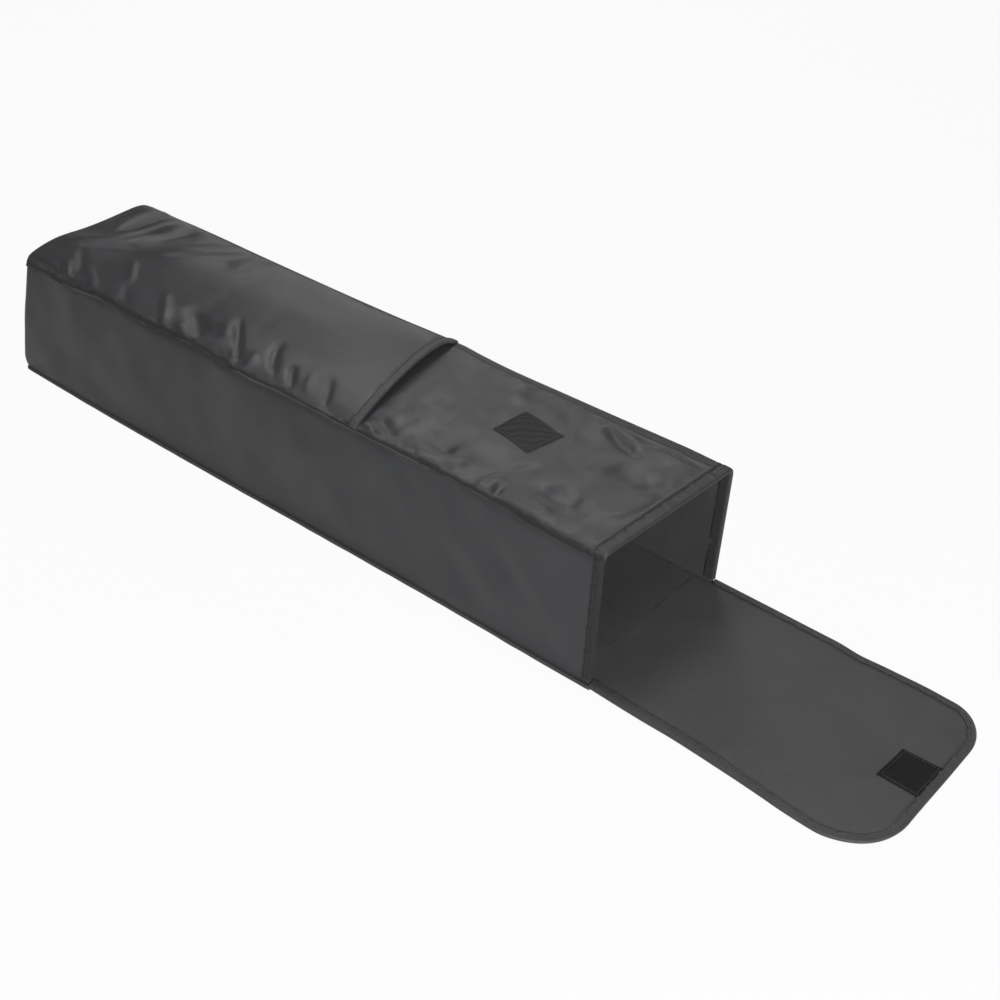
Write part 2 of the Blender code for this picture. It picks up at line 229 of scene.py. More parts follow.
def puckers(u, v, seed, places, seam_v, inward, length, width, height):
    """Small gathers that run in from a seam at v = seam_v, where the stitches draw it up."""
    rng = random.Random(seed)
    total = np.zeros(np.broadcast(u, v).shape)
    for place in places:
        reach = length * rng.uniform(0.5, 1.4)
        start = (place, seam_v)
        end = (place + reach * rng.uniform(-0.45, 0.45), seam_v + inward * reach)
        rise = height * rng.uniform(0.35, 1.2) * rng.choice((1, 1, -1))
        total += fold(u, v, start, end, width * rng.uniform(0.7, 1.5), rise, rng.uniform(0.12, 0.3))
    return total


def spread(low, high, gap, seed):
    """Places from low to high, about a gap apart."""
    rng = random.Random(seed)
    places = [low + gap * rng.uniform(0.2, 0.8)]
    while places[-1] < high:
        places.append(places[-1] + gap * rng.uniform(0.55, 1.5))
    return places[:-1]


def normals_of(grid):
    """Unit normals of a grid of points."""
    normal = np.cross(np.gradient(grid, axis=0), np.gradient(grid, axis=1))
    return normal / np.maximum(np.linalg.norm(normal, axis=-1, keepdims=True), 1e-12)


def distances(grid):
    """Flat coordinates of the cloth: metres along the rows and along the columns."""
    def run(axis):
        steps = np.linalg.norm(np.diff(grid, axis=axis), axis=-1)
        start = np.zeros_like(np.take(steps, [0], axis=axis))
        return np.cumsum(np.concatenate([start, steps], axis=axis), axis=axis)
    return run(0), run(1)


def link(name, mesh, finish):
    made = bpy.data.objects.new(name, mesh)
    bpy.context.scene.collection.objects.link(made)
    made.data.materials.append(finish)
    return made


def set_thread(mesh, values):
    """Stores the cloth's flat coordinates, which its weave follows."""
    attribute = mesh.attributes.new("thread", "FLOAT_VECTOR", "POINT")
    attribute.data.foreach_set("vector", np.asarray(values, np.float32).ravel())


def set_painted_seam_shade(mesh, values):
    """Stores painted shade in seams, grooves and beside tapes, where the cloth is coloured darker and made
    duller.
    """
    attribute = mesh.attributes.new("seam", "FLOAT", "POINT")
    attribute.data.foreach_set("value", np.clip(np.asarray(values, np.float32), 0, 1).ravel())


def grid_object(name, grid, finish, thread=None, closed=False, seam=None):
    """A mesh of quads over a grid of points; closed joins the last column to the first, and seam holds
    painted shade.
    """
    rows, columns = grid.shape[:2]
    index = np.arange(rows * columns).reshape(rows, columns)
    if closed:
        index = np.concatenate([index, index[:, :1]], axis=1)
    quads = np.stack([index[:-1, :-1], index[1:, :-1], index[1:, 1:], index[:-1, 1:]], axis=-1)
    mesh = bpy.data.meshes.new(name)
    mesh.from_pydata(grid.reshape(-1, 3).tolist(), [], quads.reshape(-1, 4).tolist())
    mesh.shade_smooth()
    if thread is None:
        thread = distances(grid)
    flat = np.stack([thread[0], thread[1], np.zeros(grid.shape[:2])], axis=-1)
    set_thread(mesh, flat)
    if seam is not None:
        set_painted_seam_shade(mesh, seam)
    return link(name, mesh, finish)


def thicken(made, thickness, side):
    """Gives a sheet its thickness, after smoothing its grid."""
    level = made.modifiers.new("smooth", "SUBSURF")
    level.levels = 1
    level.render_levels = 1
    solid = made.modifiers.new("thickness", "SOLIDIFY")
    solid.thickness = thickness
    solid.offset = side
    solid.use_even_offset = True
    return made


CORD_SIDES = 12


def tube(name, path, radii, finish, shade=None):
    """A round cord along a path, with its own radius at each point, closed ends, and painted shade from shade
    where it is given.
    """
    ahead = unit(np.gradient(path, axis=0))
    up = unit(np.array([0, 0, 1.0]) - ahead * ahead[:, 2:3])
    right = np.cross(ahead, up)
    turns = np.linspace(0, math.tau, CORD_SIDES, endpoint=False)
    ring = np.cos(turns)[None, :, None] * right[:, None] + np.sin(turns)[None, :, None] * up[:, None]
    grid = path[:, None] + ring * radii[:, None, None]
    seam = None if shade is None else np.repeat(shade[:, None], CORD_SIDES, axis=1)
    made = grid_object(name, grid, finish, closed=True, seam=seam)
    bm = bm_of(made.data)
    bm.faces.new([bm.verts[i] for i in range(CORD_SIDES)])
    last = (len(path) - 1) * CORD_SIDES
    bm.faces.new([bm.verts[last + i] for i in reversed(range(CORD_SIDES))])
    bm.to_mesh(made.data)
    bm.free()
    return made


def bm_of(mesh):
    bm = bmesh.new()
    bm.from_mesh(mesh)
    bm.verts.ensure_lookup_table()
    return bm


# The box of the bag as smooth surfaces
def end_x(z):
    """The closed end at a height: it bulges out, most a little over its foot."""
    return END_X + END_INSET * z / SEAM_Z - along(END_BULGE, z / SEAM_Z)


def mouth_x(z, across):
    """Where the mouth's tape stands at a height, for 0 at the near side to 1 at the far side."""
    return MOUTH_X - lerp(NEAR_SETBACK, FAR_SETBACK, across) * z / SEAM_Z


def cloth_end(z, across, stack):
    """Where layers of that height in all stop, inside the tape folded round the mouth."""
    return mouth_x(z, across) - stack / 2 - GAP - TAPE


def rounding(side, share):
    """The radius of the top edge, which turns from a crisp seam into the mouth's round corner."""
    return MOUTH_ROUNDING[side] * ease(ROUNDING_SHARE, 1, share)


def top_side(side, share):
    """The bag's half width at its top seam."""
    return along(NEAR_SEAM if side < 0 else FAR_SEAM, share)


def wall_half(side, share, z):
    """The bag's half width at a height."""
    base = along(NEAR_BASE if side < 0 else FAR_BASE, share)
    seam = top_side(side, share)
    belly = along(NEAR_BELLY, z / SEAM_Z) * (1 - ease(0, 0.35, share))
    return lerp(base, seam, z / SEAM_Z) + belly


SEAM_DROP = ((0, 0.0074), (0.03, 0.0062), (0.077, 0.0038), (0.13, 0.0014), (0.18, 0.0003), (0.22, 0), (1, 0))


def seam_drop(x, y):
    """How much lower the near seam hangs towards the closed end."""
    share = (x - END_X) / (MOUTH_X - END_X)
    return along(SEAM_DROP, share) * (1 - ease(-0.090, -0.040, y))


def lowered(grid):
    """Wall points under the seam where it hangs low."""
    grid = grid.copy()
    grid[..., 2] -= seam_drop(grid[..., 0], grid[..., 1]) * (np.clip(grid[..., 2], 0, SEAM_Z) / SEAM_Z) ** 3
    return grid


EDGE_CUT = 1 - math.sqrt(0.5)


def side_points(side, shares, heights, depth):
    """Points of one side wall: shares along it by heights from 0 at its foot to 1 at its seam."""
    share, t = np.meshgrid(shares, heights, indexing="ij")
    radius = rounding(side, share)
    foot = CLOTH + GAP
    z = lerp(foot, SEAM_Z - EDGE_CUT * radius, t)
    below = SEAM_Z - z
    inner = np.clip(radius - below, 0, None)
    cut = radius - np.sqrt(np.clip(radius**2 - inner**2, 0, None))
    cut = np.where(below < radius, cut, 0)
    half = wall_half(side, share, z) - cut - depth
    start = end_x(z) + CORNER_RADII[side]
    x = lerp(start, cloth_end(z, (side + 1) / 2, WALL_STACK), share)
    return np.stack([x, side * half, z], axis=-1)


def corner_points(side, turns, heights, depth):
    """Points of one round corner of the closed end; a turn of 0 is at the side wall."""
    turn, t = np.meshgrid(turns, heights, indexing="ij")
    z = lerp(CLOTH + GAP, SEAM_Z, t)
    radius = CORNER_RADII[side] - depth
    half = wall_half(side, 0, z) - depth
    x = end_x(z) + depth + radius * (1 - np.sin(turn))
    return np.stack([x, side * (half - radius * (1 - np.cos(turn))), z], axis=-1)


def end_points(shares, heights, depth):
    """Points of the closed end between its round corners."""
    share, t = np.meshgrid(shares, heights, indexing="ij")
    z = lerp(CLOTH + GAP, SEAM_Z, t)
    near = CORNER_RADII[-1] - wall_half(-1, 0, z)
    far = wall_half(1, 0, z) - CORNER_RADII[1]
    return np.stack([end_x(z) + depth, lerp(near, far, share), z], axis=-1)


def wall_grid(depth, step, heights):
    """Points round the bag: near side from the mouth, closed end, far side to the mouth."""
    length = MOUTH_X - END_X
    fine = 1 - np.arange(0, MOUTH_BAND, min(FINE, step)) / length
    shares = np.concatenate([fine, np.linspace(1 - MOUTH_BAND / length, 0, int(round(length / step)))])
    turns = np.linspace(0, math.pi / 2, 8)[1:]
    across = int(round((FLOOR_HIGH[1] - FLOOR_LOW[1]) / step))
    parts = [
        side_points(-1, shares, heights, depth),
        corner_points(-1, turns, heights, depth),
        end_points(np.linspace(0, 1, across)[1:-1], heights, depth),
        corner_points(1, turns[::-1], heights, depth),
        side_points(1, shares[::-1], heights, depth),
    ]
    return lowered(np.concatenate(parts, axis=0))


# Wrinkles of the walls
def wall_wrinkles(run, z, full):
    """How far the wall cloth stands out, by metres along the wall's path and its height."""
    held = ease(0, 0.016, z) * ease(0, 0.010, SEAM_Z - z)
    ends = ease(0.008, 0.030, run) * ease(0.008, 0.030, full - run)
    soft = 0.0013 * ripple(run, z, 3, 0.13) + 0.0005 * ripple(run, z, 5, 0.05)
    total = held * soft
    total += puckers(run, z, 11, spread(0, full, 0.040, 12), 0.002, 1, 0.014, 0.0050, 0.0004)
    total += puckers(run, z, 13, spread(0, full, 0.034, 14), SEAM_Z, -1, 0.014, 0.0050, 0.0005)
    total += 0.0022 * arch(z / SEAM_Z)
    for start, end, width, height in WALL_FOLDS:
        total += fold(run, z, start, end, width, 1.4 * height, 0.5)
    return total * ends


# Folds of the walls: start and end as metres along the wall's path and up, width and height
WALL_FOLDS = (
    ((0.040, 0.030), (0.150, 0.120), 0.014, -0.0012),
    ((0.085, 0.020), (0.210, 0.110), 0.018, 0.0012),
    ((0.250, 0.125), (0.330, 0.030), 0.016, -0.0012),
    ((0.300, 0.128), (0.420, 0.060), 0.016, 0.0012),
    ((0.470, 0.135), (0.560, 0.040), 0.020, -0.0014),
    ((0.620, 0.130), (0.700, 0.085), 0.014, 0.0014),
    ((0.680, 0.020), (0.800, 0.075), 0.018, -0.0010),
    ((1.120, 0.040), (1.260, 0.115), 0.016, 0.0014),
    ((1.350, 0.120), (1.450, 0.030), 0.018, -0.0014),
    ((1.560, 0.030), (1.700, 0.110), 0.018, 0.0012),
)


# The top: its crown, its folds and the pocket
def top_grid(stations, columns):
    """Plan points of the top: (x, y) for shares along the bag by shares across it."""
    share, across = np.meshgrid(stations, columns, indexing="ij")
    start = end_x(SEAM_Z)
    x = lerp(start, top_front(across), share)
    low, high = (
        top_side(side, share) - corner_cut(side, x - start, 0) - EDGE_CUT * rounding(side, share)
        for side in (-1, 1)
    )
    return x, lerp(-low, high, across), share, across


def corner_cut(side, along_bag, depth):
    """How much narrower the bag is in its round rear corner, that far from its closed end."""
    radius = CORNER_RADII[side] - depth
    into = np.clip(radius - along_bag, 0, radius)
    return radius - np.sqrt(radius**2 - into**2)


TOP_FRONT = cloth_end(SEAM_Z, 0.5, TOP_STACK)


def top_front(across):
    """The top cloth's front edge, from the near side to the far side."""
    return cloth_end(SEAM_Z, across, TOP_STACK)


CROWN_TABLE = ((0, 0.0010), (0.06, 0.0040), (0.3, 0.0066), (0.6, 0.0072), (0.85, 0.0064), (1, 0.0012))
CROWN_LEAN = 1.35


def edge_distance(x, y, share):
    """Distances in from the near seam, the far seam, the closed end and the mouth."""
    near = y + top_side(-1, share)
    far = top_side(1, share) - y
    return near, far, x - end_x(SEAM_Z), top_front(near / (near + far)) - x


def crown_height(x, y, share):
    near, far, _, _ = edge_distance(x, y, share)
    across = np.clip(near / (near + far), 0, 1)
    return along(CROWN_TABLE, share) * arch(across**CROWN_LEAN) ** 0.9


def corner_drop(x, y, share):
    """How far the top turns down at its edges towards the mouth's round corners."""
    near, far, _, _ = edge_distance(x, y, share)
    drop = 0
    for side, edge in ((-1, near), (1, far)):
        radius = rounding(side, share)
        inner = np.clip(radius - edge, 0, None)
        drop = drop + radius - np.sqrt(np.clip(radius**2 - inner**2, 0, None))
    return drop


BORDER = 0.0095


def border_width(x):
    """The far side's stitched border, wider towards the mouth, with an uneven line."""
    return lerp(0.0050, BORDER, ease(-0.25, 0.15, x)) + 0.0009 * ripple(x, 0 * x, 27, 0.045)


def border_groove(x, far):
    """The line where the border's stitches press the cloth down."""
    return bell(far - border_width(x), 0.0016)


def seam_roll(edge, depth=0.0026, width=0.0064):
    """The cloth dips where the seam holds it down."""
    return -depth * (1 - ease(0, width, edge))


def hanging(x, y, near, back):
    """How far the top's edge goes down to the low part of the seam."""
    return seam_drop(x, y) * (1 - ease(0, 0.008, np.minimum(near, back)))


def bulge(x, y, near, back):
    """How far the slack cloth bulges out over the low part of the seam."""
    close = np.minimum(near, back)
    return 0.35 * seam_drop(x, y) * ease(0, 0.003, close) * (1 - ease(0.004, 0.014, close))


def lip(far):
    """How far the folded far edge stands out over the wall."""
    return 0.0012 * (1 - ease(0, 0.004, far))


# Folds of the top in plan: the points they run through, width, height, lean and peak
TOP_FOLDS = (
    (((0.094, -0.060), (0.122, -0.072), (0.150, -0.087)), 0.0085, -0.0046, 0.0, 0.3),
    (((0.098, -0.080), (0.113, -0.087), (0.130, -0.094)), 0.0060, 0.0034, 0.2, 0.4),
    (((0.150, -0.050), (0.180, -0.060), (0.214, -0.072)), 0.0130, -0.0044, 0.0, 0.45),
    (((0.160, -0.084), (0.200, -0.080), (0.235, -0.066)), 0.0120, 0.0034, 0.2, 0.5),
    (((0.205, 0.042), (0.180, 0.058), (0.150, 0.074)), 0.0080, 0.0022, 0.3, 0.3),
    (((0.268, 0.038), (0.300, 0.058), (0.330, 0.074)), 0.0090, -0.0022, 0.2, 0.4),
    (((0.256, -0.096), (0.259, -0.078), (0.266, -0.058)), 0.0052, 0.0050, 0.6, 0.35),
    (((0.283, -0.098), (0.276, -0.084), (0.268, -0.062)), 0.0042, -0.0026, 0.0, 0.35),
    (((0.272, -0.078), (0.305, -0.082), (0.342, -0.079)), 0.0150, 0.0034, 0.0, 0.5),
    (((0.300, -0.046), (0.330, -0.052), (0.350, -0.040)), 0.0170, -0.0030, 0.0, 0.5),
    (((0.338, -0.016), (0.366, -0.014), (0.396, -0.022)), 0.0290, 0.0048, 0.0, 0.6),
    (((0.322, 0.030), (0.358, 0.034), (0.394, 0.038)), 0.0230, -0.0050, 0.0, 0.5),
    (((0.340, 0.048), (0.370, 0.046), (0.396, 0.044)), 0.0150, 0.0022, 0.0, 0.5),
    (((0.283, 0.086), (0.312, 0.072), (0.345, 0.056)), 0.0070, -0.0050, 0.3, 0.35),
    (((0.284, 0.090), (0.300, 0.083), (0.322, 0.076)), 0.0035, 0.0022, 0.0, 0.4),
    (((0.286, -0.020), (0.270, -0.040), (0.262, -0.060)), 0.0050, -0.0016, 0.0, 0.3),
    (((0.236, 0.094), (0.252, 0.074), (0.270, 0.052)), 0.0070, 0.0018, 0.0, 0.3),
    (((0.160, 0.096), (0.180, 0.080), (0.196, 0.062)), 0.0060, 0.0018, 0.0, 0.3),
)

POCKET_FOLDS = (
    (((-0.367, 0.092), (-0.384, 0.056), (-0.384, 0.030), (-0.380, 0.002), (-0.376, -0.017)),
     0.0075, 0.0034, 0.5, 0.3),
    (((-0.398, 0.080), (-0.403, 0.040), (-0.399, 0.006)), 0.0085, -0.0022, 0.0, 0.4),
    (((-0.343, 0.092), (-0.346, 0.049), (-0.347, 0.010), (-0.354, -0.014), (-0.372, -0.034),
      (-0.405, -0.052)),
     0.0075, 0.0042, 0.5, 0.25),
    (((-0.360, 0.076), (-0.364, 0.040), (-0.363, 0.004)), 0.0060, -0.0018, 0.0, 0.4),
    (((-0.334, 0.010), (-0.328, 0.045), (-0.318, 0.088)), 0.0110, -0.0036, 0.0, 0.5),
    (((-0.336, -0.004), (-0.306, -0.004), (-0.280, 0.014), (-0.255, 0.040), (-0.242, 0.060), (-0.231, 0.092)),
     0.0100, 0.0046, -0.55, 0.6),
    (((-0.224, 0.020), (-0.207, 0.034), (-0.205, 0.058), (-0.194, 0.092)), 0.0090, 0.0030, -0.5, 0.6),
    (((-0.298, 0.044), (-0.292, 0.060), (-0.287, 0.078)), 0.0045, 0.0018, -0.3, 0.5),
    (((-0.418, -0.058), (-0.385, -0.038), (-0.340, -0.006), (-0.300, 0.000)), 0.0121, 0.0034, -0.5, 0.35),
    (((-0.334, -0.100), (-0.352, -0.086), (-0.374, -0.069)), 0.0034, 0.0018, 0.0, 0.4),
    (((-0.328, -0.090), (-0.350, -0.068), (-0.376, -0.048)), 0.0038, -0.0018, 0.0, 0.4),
    (((-0.290, -0.100), (-0.318, -0.080), (-0.346, -0.063)), 0.0044, 0.0014, 0.0, 0.4),
    (((-0.266, -0.070), (-0.285, -0.050), (-0.311, -0.023)), 0.0036, 0.0018, 0.0, 0.4),
    (((-0.240, -0.098), (-0.262, -0.078), (-0.280, -0.062)), 0.0050, -0.0012, 0.0, 0.4),
    (((-0.181, -0.098), (-0.199, -0.077), (-0.229, -0.050)), 0.0036, 0.0032, 0.3, 0.3),
    (((-0.190, -0.058), (-0.160, -0.067), (-0.129, -0.089)), 0.0085, -0.0040, -0.2, 0.45),
    (((-0.176, -0.082), (-0.160, -0.088), (-0.146, -0.096)), 0.0050, 0.0018, 0.0, 0.5),
    (((-0.134, -0.052), (-0.116, -0.062), (-0.100, -0.076)), 0.0080, 0.0022, 0.0, 0.5),
    (((-0.071, -0.098), (-0.080, -0.086), (-0.094, -0.072)), 0.0030, 0.0026, 0.0, 0.3),
    (((-0.064, -0.098), (-0.095, -0.065), (-0.126, -0.034)), 0.0036, -0.0040, -0.3, 0.3),
    (((-0.013, -0.092), (-0.037, -0.072), (-0.057, -0.040)), 0.0046, -0.0030, 0.2, 0.45),
    (((-0.050, -0.098), (-0.056, -0.084), (-0.064, -0.068)), 0.0060, 0.0016, 0.0, 0.4),
    (((0.009, -0.092), (-0.003, -0.078), (-0.017, -0.064)), 0.0032, -0.0032, 0.0, 0.4),
    (((0.058, -0.096), (0.045, -0.074), (0.031, -0.054)), 0.0038, -0.0022, 0.0, 0.35),
    (((0.036, -0.096), (0.022, -0.080), (0.010, -0.062)), 0.0050, 0.0014, 0.0, 0.35),
)


FOLD_STRENGTH = 1.3


def folds_height(x, y, folds):
    total = np.zeros(np.broadcast(x, y).shape)
    for points, width, height, lean, peak in folds:
        total += crease(x, y, points, width, height * FOLD_STRENGTH, lean, peak)
    return total


def slack_at(x, y):
    """How slack the top is: the stiff patch keeps the cloth under it flat."""
    low, high = LOOP_BOX
    beside = [np.maximum(low[axis] - place, place - high[axis]) for axis, place in enumerate((x, y))]
    return lerp(0.15, 1, ease(0, 0.014, np.maximum(*beside)))


def top_painted_shade(x, y, share):
    """Painted shade in the top's seams: darker near and far edges, the far border's stitches and the line of
    the mouth's tape.
    """
    near, far, _, front = edge_distance(x, y, share)
    border = border_width(x)
    wide = lerp(0.0026, 0.0052, ease(0.52, 0.75, share)) + 0.0008 * ripple(x, 0 * x, 28, 0.010)
    sewn = 0.95 * (1 - ease(wide, wide + 0.0016, near))
    sewn = sewn + 0.45 * (1 - ease(border - 0.002, border + 0.0005, far))
    return sewn + 0.5 * border_groove(x, far) + 0.9 * mouth_line(front)


def mouth_line(front):
    """The line where the mouth's tape is sewn down."""
    return bell(front - TOP_LEG - SEWN_LINE, 0.0013)


# Room over the seam for the top's folds under the closed tongue, and how softly it limits them
TONGUE_ROOM = 0.0027
SOFT_LIMIT = 0.0005
LOW_CROWN = 0.35


def kept_low(height):
    """The same height, but smoothly kept below the closed tongue."""
    return TONGUE_ROOM - SOFT_LIMIT * np.log1p(np.exp((TONGUE_ROOM - height) / SOFT_LIMIT))


def top_height(x, y, share):
    """Height of the top cloth's upper face over the seam."""
    near, far, back, front = edge_distance(x, y, share)
    loose = ease(0, 0.012, near) * ease(BORDER, BORDER + 0.012, far) * ease(0.010, 0.030, front)
    loose = loose * slack_at(x, y)
    shown = ease(-0.012, 0.020, x - pocket_front(y))
    height = crown_height(x, y, share) * lerp(1, LOW_CROWN, ease(0.215, 0.290, x))
    height -= corner_drop(x, y, share)
    height += seam_roll(near, 0.0030, 0.0052)
    height += seam_roll(far, 0.0008, 0.003)
    height += shown * loose * folds_height(x, y, TOP_FOLDS)
    height += shown * loose * (0.0007 * ripple(x, y, 21, 0.055) + 0.0003 * ripple(x, y, 22, 0.022))
    gather = puckers(x, far, 23, spread(0.06, MOUTH_X, 0.017, 24), BORDER, 1, 0.016, 0.0034, 0.0010)
    gather += puckers(x, near, 25, spread(0.06, MOUTH_X, 0.018, 26), 0.004, 1, 0.012, 0.0028, 0.0008)
    height += shown * gather * ease(0.012, 0.024, front)
    fold_line = 0.0010 * bell(far - border_width(x) - 0.0030, 0.0016)
    height += shown * ease(0.008, 0.016, front) * (fold_line - 0.0013 * border_groove(x, far))
    height -= hanging(x, y, near, back)
    height = lerp(height, kept_low(height), ease(0.238, 0.262, x))
    return height - 0.0007 * mouth_line(front) + 0.0008 * mouth_line(front - 0.0026)


def share_at(x):
    return (x - end_x(SEAM_Z)) / (TOP_FRONT - end_x(SEAM_Z))


def pocket_front(y):
    """The pocket mouth's place along the bag, slanted from the near side to the far side."""
    return lerp(POCKET_NEAR_X, POCKET_FAR_X, (y + 0.09) / 0.18)


POCKET_LOW, POCKET_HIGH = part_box("pocket_panel")
POCKET_NEAR_X = POCKET_HIGH[0] + 0.002
POCKET_FAR_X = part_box("pocket_hem")[0][0] + 0.002
POCKET_ROOM = 0.0085
ROOM_NEAR_SHARE = 1.3
ROOM_FAR_SHARE = 0.8
HEM_WIDTH = 0.008


REAR_RISE = (
    (-0.0950, 0), (-0.0925, 0.0016), (-0.087, 0.0042), (-0.080, 0.0060), (-0.068, 0.0077), (-0.054, 0.0083),
    (-0.036, 0.0076), (-0.015, 0.0064), (0.005, 0.0061), (0.029, 0.0068), (0.057, 0.0081), (0.070, 0.0085),
    (0.078, 0.0078), (0.086, 0.0050), (0.094, 0),
)


def dome_height(x, y, back):
    """The slack cloth stands up over the closed end and comes down again further in."""
    return along(REAR_RISE, y) * ease(0, 0.0045, back) * (1 - 0.75 * ease(0.020, 0.110, back))


def overhang(y, back):
    """How far the slack cloth leans out over the closed end."""
    return 0.36 * along(REAR_RISE, y) * ease(0, 0.003, back) * (1 - ease(0.006, 0.030, back))


def mouth_room(across):
    """How the pocket's mouth gapes across the bag, most a little beyond the middle."""
    top = ROOM_NEAR_SHARE / (ROOM_NEAR_SHARE + ROOM_FAR_SHARE)
    most = top**ROOM_NEAR_SHARE * (1 - top) ** ROOM_FAR_SHARE
    inside = np.clip(across, 0, 1)
    return inside**ROOM_NEAR_SHARE * (1 - inside) ** ROOM_FAR_SHARE / most


def pocket_height(x, y, share):
    """Height of the pocket cloth's underside over the seam."""
    near, far, back, _ = edge_distance(x, y, share)
    across = near / (near + far)
    start = end_x(SEAM_Z)
    reach = np.clip((x - start) / (pocket_front(y) - start), 0, 1)
    opened = ease(0.45, 1.0, reach)
    slack = 0.0060 * reach * (1 - reach) * 4 * arch(np.clip(across, 0, 1))
    room = POCKET_ROOM * opened * mouth_room(across) + slack
    loose = ease(0, 0.007, near) * ease(0.004, 0.012, far) * ease(0.000, 0.012, back)
    calm = 1 - 0.75 * ease(0.9, 1.0, reach)
    height = crown_height(x, y, share) + GAP + room + dome_height(x, y, back)
    height += seam_roll(near) + seam_roll(far, 0.0008, 0.003)
    height += loose * calm * folds_height(x, y, POCKET_FOLDS)
    height += loose * calm * 0.0007 * ripple(x, y, 31, 0.110)
    gather = puckers(x, near, 33, spread(-0.39, 0.09, 0.018, 34), 0.002, 1, 0.014, 0.0028, 0.0007)
    gather += puckers(x, far, 35, spread(-0.39, 0.06, 0.022, 36), 0.005, 1, 0.014, 0.0034, 0.0007)
    height += gather * calm - hanging(x, y, near, back)
    return height - 0.0009 * border_groove(x, far) * ease(-0.30, -0.24, x)


def uneven_columns(width, edge=0.016):
    """Shares across a strip, closer together near both edges."""
    side = np.arange(0, edge, FINE)
    middle = np.linspace(edge, width - edge, int(round((width - 2 * edge) / STEP)))
    return np.concatenate([side, middle, width - side[::-1]]) / width


# Finishes
# SEAM_SHADE is the colour factor of the painted shade in seams and grooves; SEAM_DULL makes them duller
SEAM_SHADE = 0.3
SEAM_DULL = 0.4
ROUGH_SPREAD = 0.08


def nodes_of(name):
    made = bpy.data.materials.new(name)
    made.use_nodes = True
    tree = made.node_tree
    shader = tree.nodes["Principled BSDF"]
    return made, tree, shader


def add(tree, kind, **values):
    node = tree.nodes.new(kind)
    for key, value in values.items():
        setattr(node, key, value)
    return node


def math_node(tree, operation, first, second):
    node = add(tree, "ShaderNodeMath", operation=operation)
    for socket, value in zip(node.inputs, (first, second)):
        if isinstance(value, (int, float)):
            socket.default_value = value
        else:
            tree.links.new(value, socket)
    return node.outputs[0]


def noise_node(tree, place, scale, detail=3.0, rough=0.5):
    node = add(tree, "ShaderNodeTexNoise")
    node.inputs["Scale"].default_value = scale
    node.inputs["Detail"].default_value = detail
    node.inputs["Roughness"].default_value = rough
    tree.links.new(place, node.inputs["Vector"])
    return node.outputs["Fac"]


def wave_node(tree, coordinate, period):
    """A thread's rounded profile across the cloth."""
    turned = math_node(tree, "MULTIPLY", coordinate, math.tau / period)
    return math_node(tree, "SINE", turned, 0.0)


def blend_of(tree, first, second, share):
    """A sum of two outputs, the first with that share."""
    shares = ((first, share), (second, 1 - share))
    return math_node(tree, "ADD", *(math_node(tree, "MULTIPLY", value, part) for value, part in shares))


def rising(tree, value, times, start):
    """An output times a factor, over a start."""
    return math_node(tree, "ADD", math_node(tree, "MULTIPLY", value, times), start)


def colour_between(tree, fac, low, high):
    mix = add(tree, "ShaderNodeMix", data_type="RGBA")
    mix.inputs[6].default_value = (*low, 1)
    mix.inputs[7].default_value = (*high, 1)
    tree.links.new(fac, mix.inputs[0])
    return mix.outputs[2]


def bump_chain(tree, shader, parts):
    """Bumps laid over each other: parts are (height, depth in metres)."""
    last = None
    for height, depth in parts:
        bump = add(tree, "ShaderNodeBump")
        bump.inputs["Strength"].default_value = 1.0
        bump.inputs["Distance"].default_value = depth
        tree.links.new(height, bump.inputs["Height"])
        if last:
            tree.links.new(last, bump.inputs["Normal"])
        last = bump.outputs["Normal"]
    tree.links.new(last, shader.inputs["Normal"])


def cloth_finish(name, low, high, rough, sheen, thread, wrinkle, weave_depth):
    """Woven cloth: fine threads both ways, cloudy colour, small wrinkles, an uneven gloss, and painted shade
    where the seam attribute is set.
    """
    made, tree, shader = nodes_of(name)
    place = add(tree, "ShaderNodeAttribute", attribute_name="thread").outputs["Vector"]
    split = add(tree, "ShaderNodeSeparateXYZ")
    tree.links.new(place, split.inputs[0])
    warp = wave_node(tree, split.outputs["X"], thread)
    weft = wave_node(tree, split.outputs["Y"], thread)
    weave = math_node(tree, "MULTIPLY", warp, weft)
    cloud = noise_node(tree, place, 26.0, 5.0, 0.6)
    fine = noise_node(tree, place, 900.0, 2.0)
    tone = blend_of(tree, cloud, fine, 0.75)
    woven = math_node(tree, "ADD", tone, math_node(tree, "MULTIPLY", weave, 0.05))
    # Painted shade: the seam attribute darkens the base colour towards SEAM_SHADE times the low colour
    seam = add(tree, "ShaderNodeAttribute", attribute_name="seam").outputs["Fac"]
    dark = add(tree, "ShaderNodeMix", data_type="RGBA")
    dark.inputs[7].default_value = (*(part * SEAM_SHADE for part in low), 1)
    tree.links.new(seam, dark.inputs[0])
    tree.links.new(colour_between(tree, woven, low, high), dark.inputs[6])
    tree.links.new(dark.outputs[2], shader.inputs["Base Color"])
    slip = rising(tree, cloud, ROUGH_SPREAD, rough - ROUGH_SPREAD / 2)
    dull = math_node(tree, "MULTIPLY", seam, SEAM_DULL)
    tree.links.new(math_node(tree, "ADD", slip, dull), shader.inputs["Roughness"])
    shader.inputs["Sheen Weight"].default_value = sheen
    shader.inputs["Sheen Roughness"].default_value = 0.45
    shader.inputs["Specular IOR Level"].default_value = 0.5
    small = noise_node(tree, place, 55.0, 3.0, 0.55)
    bump_chain(tree, shader, ((small, wrinkle), (weave, weave_depth)))
    return made


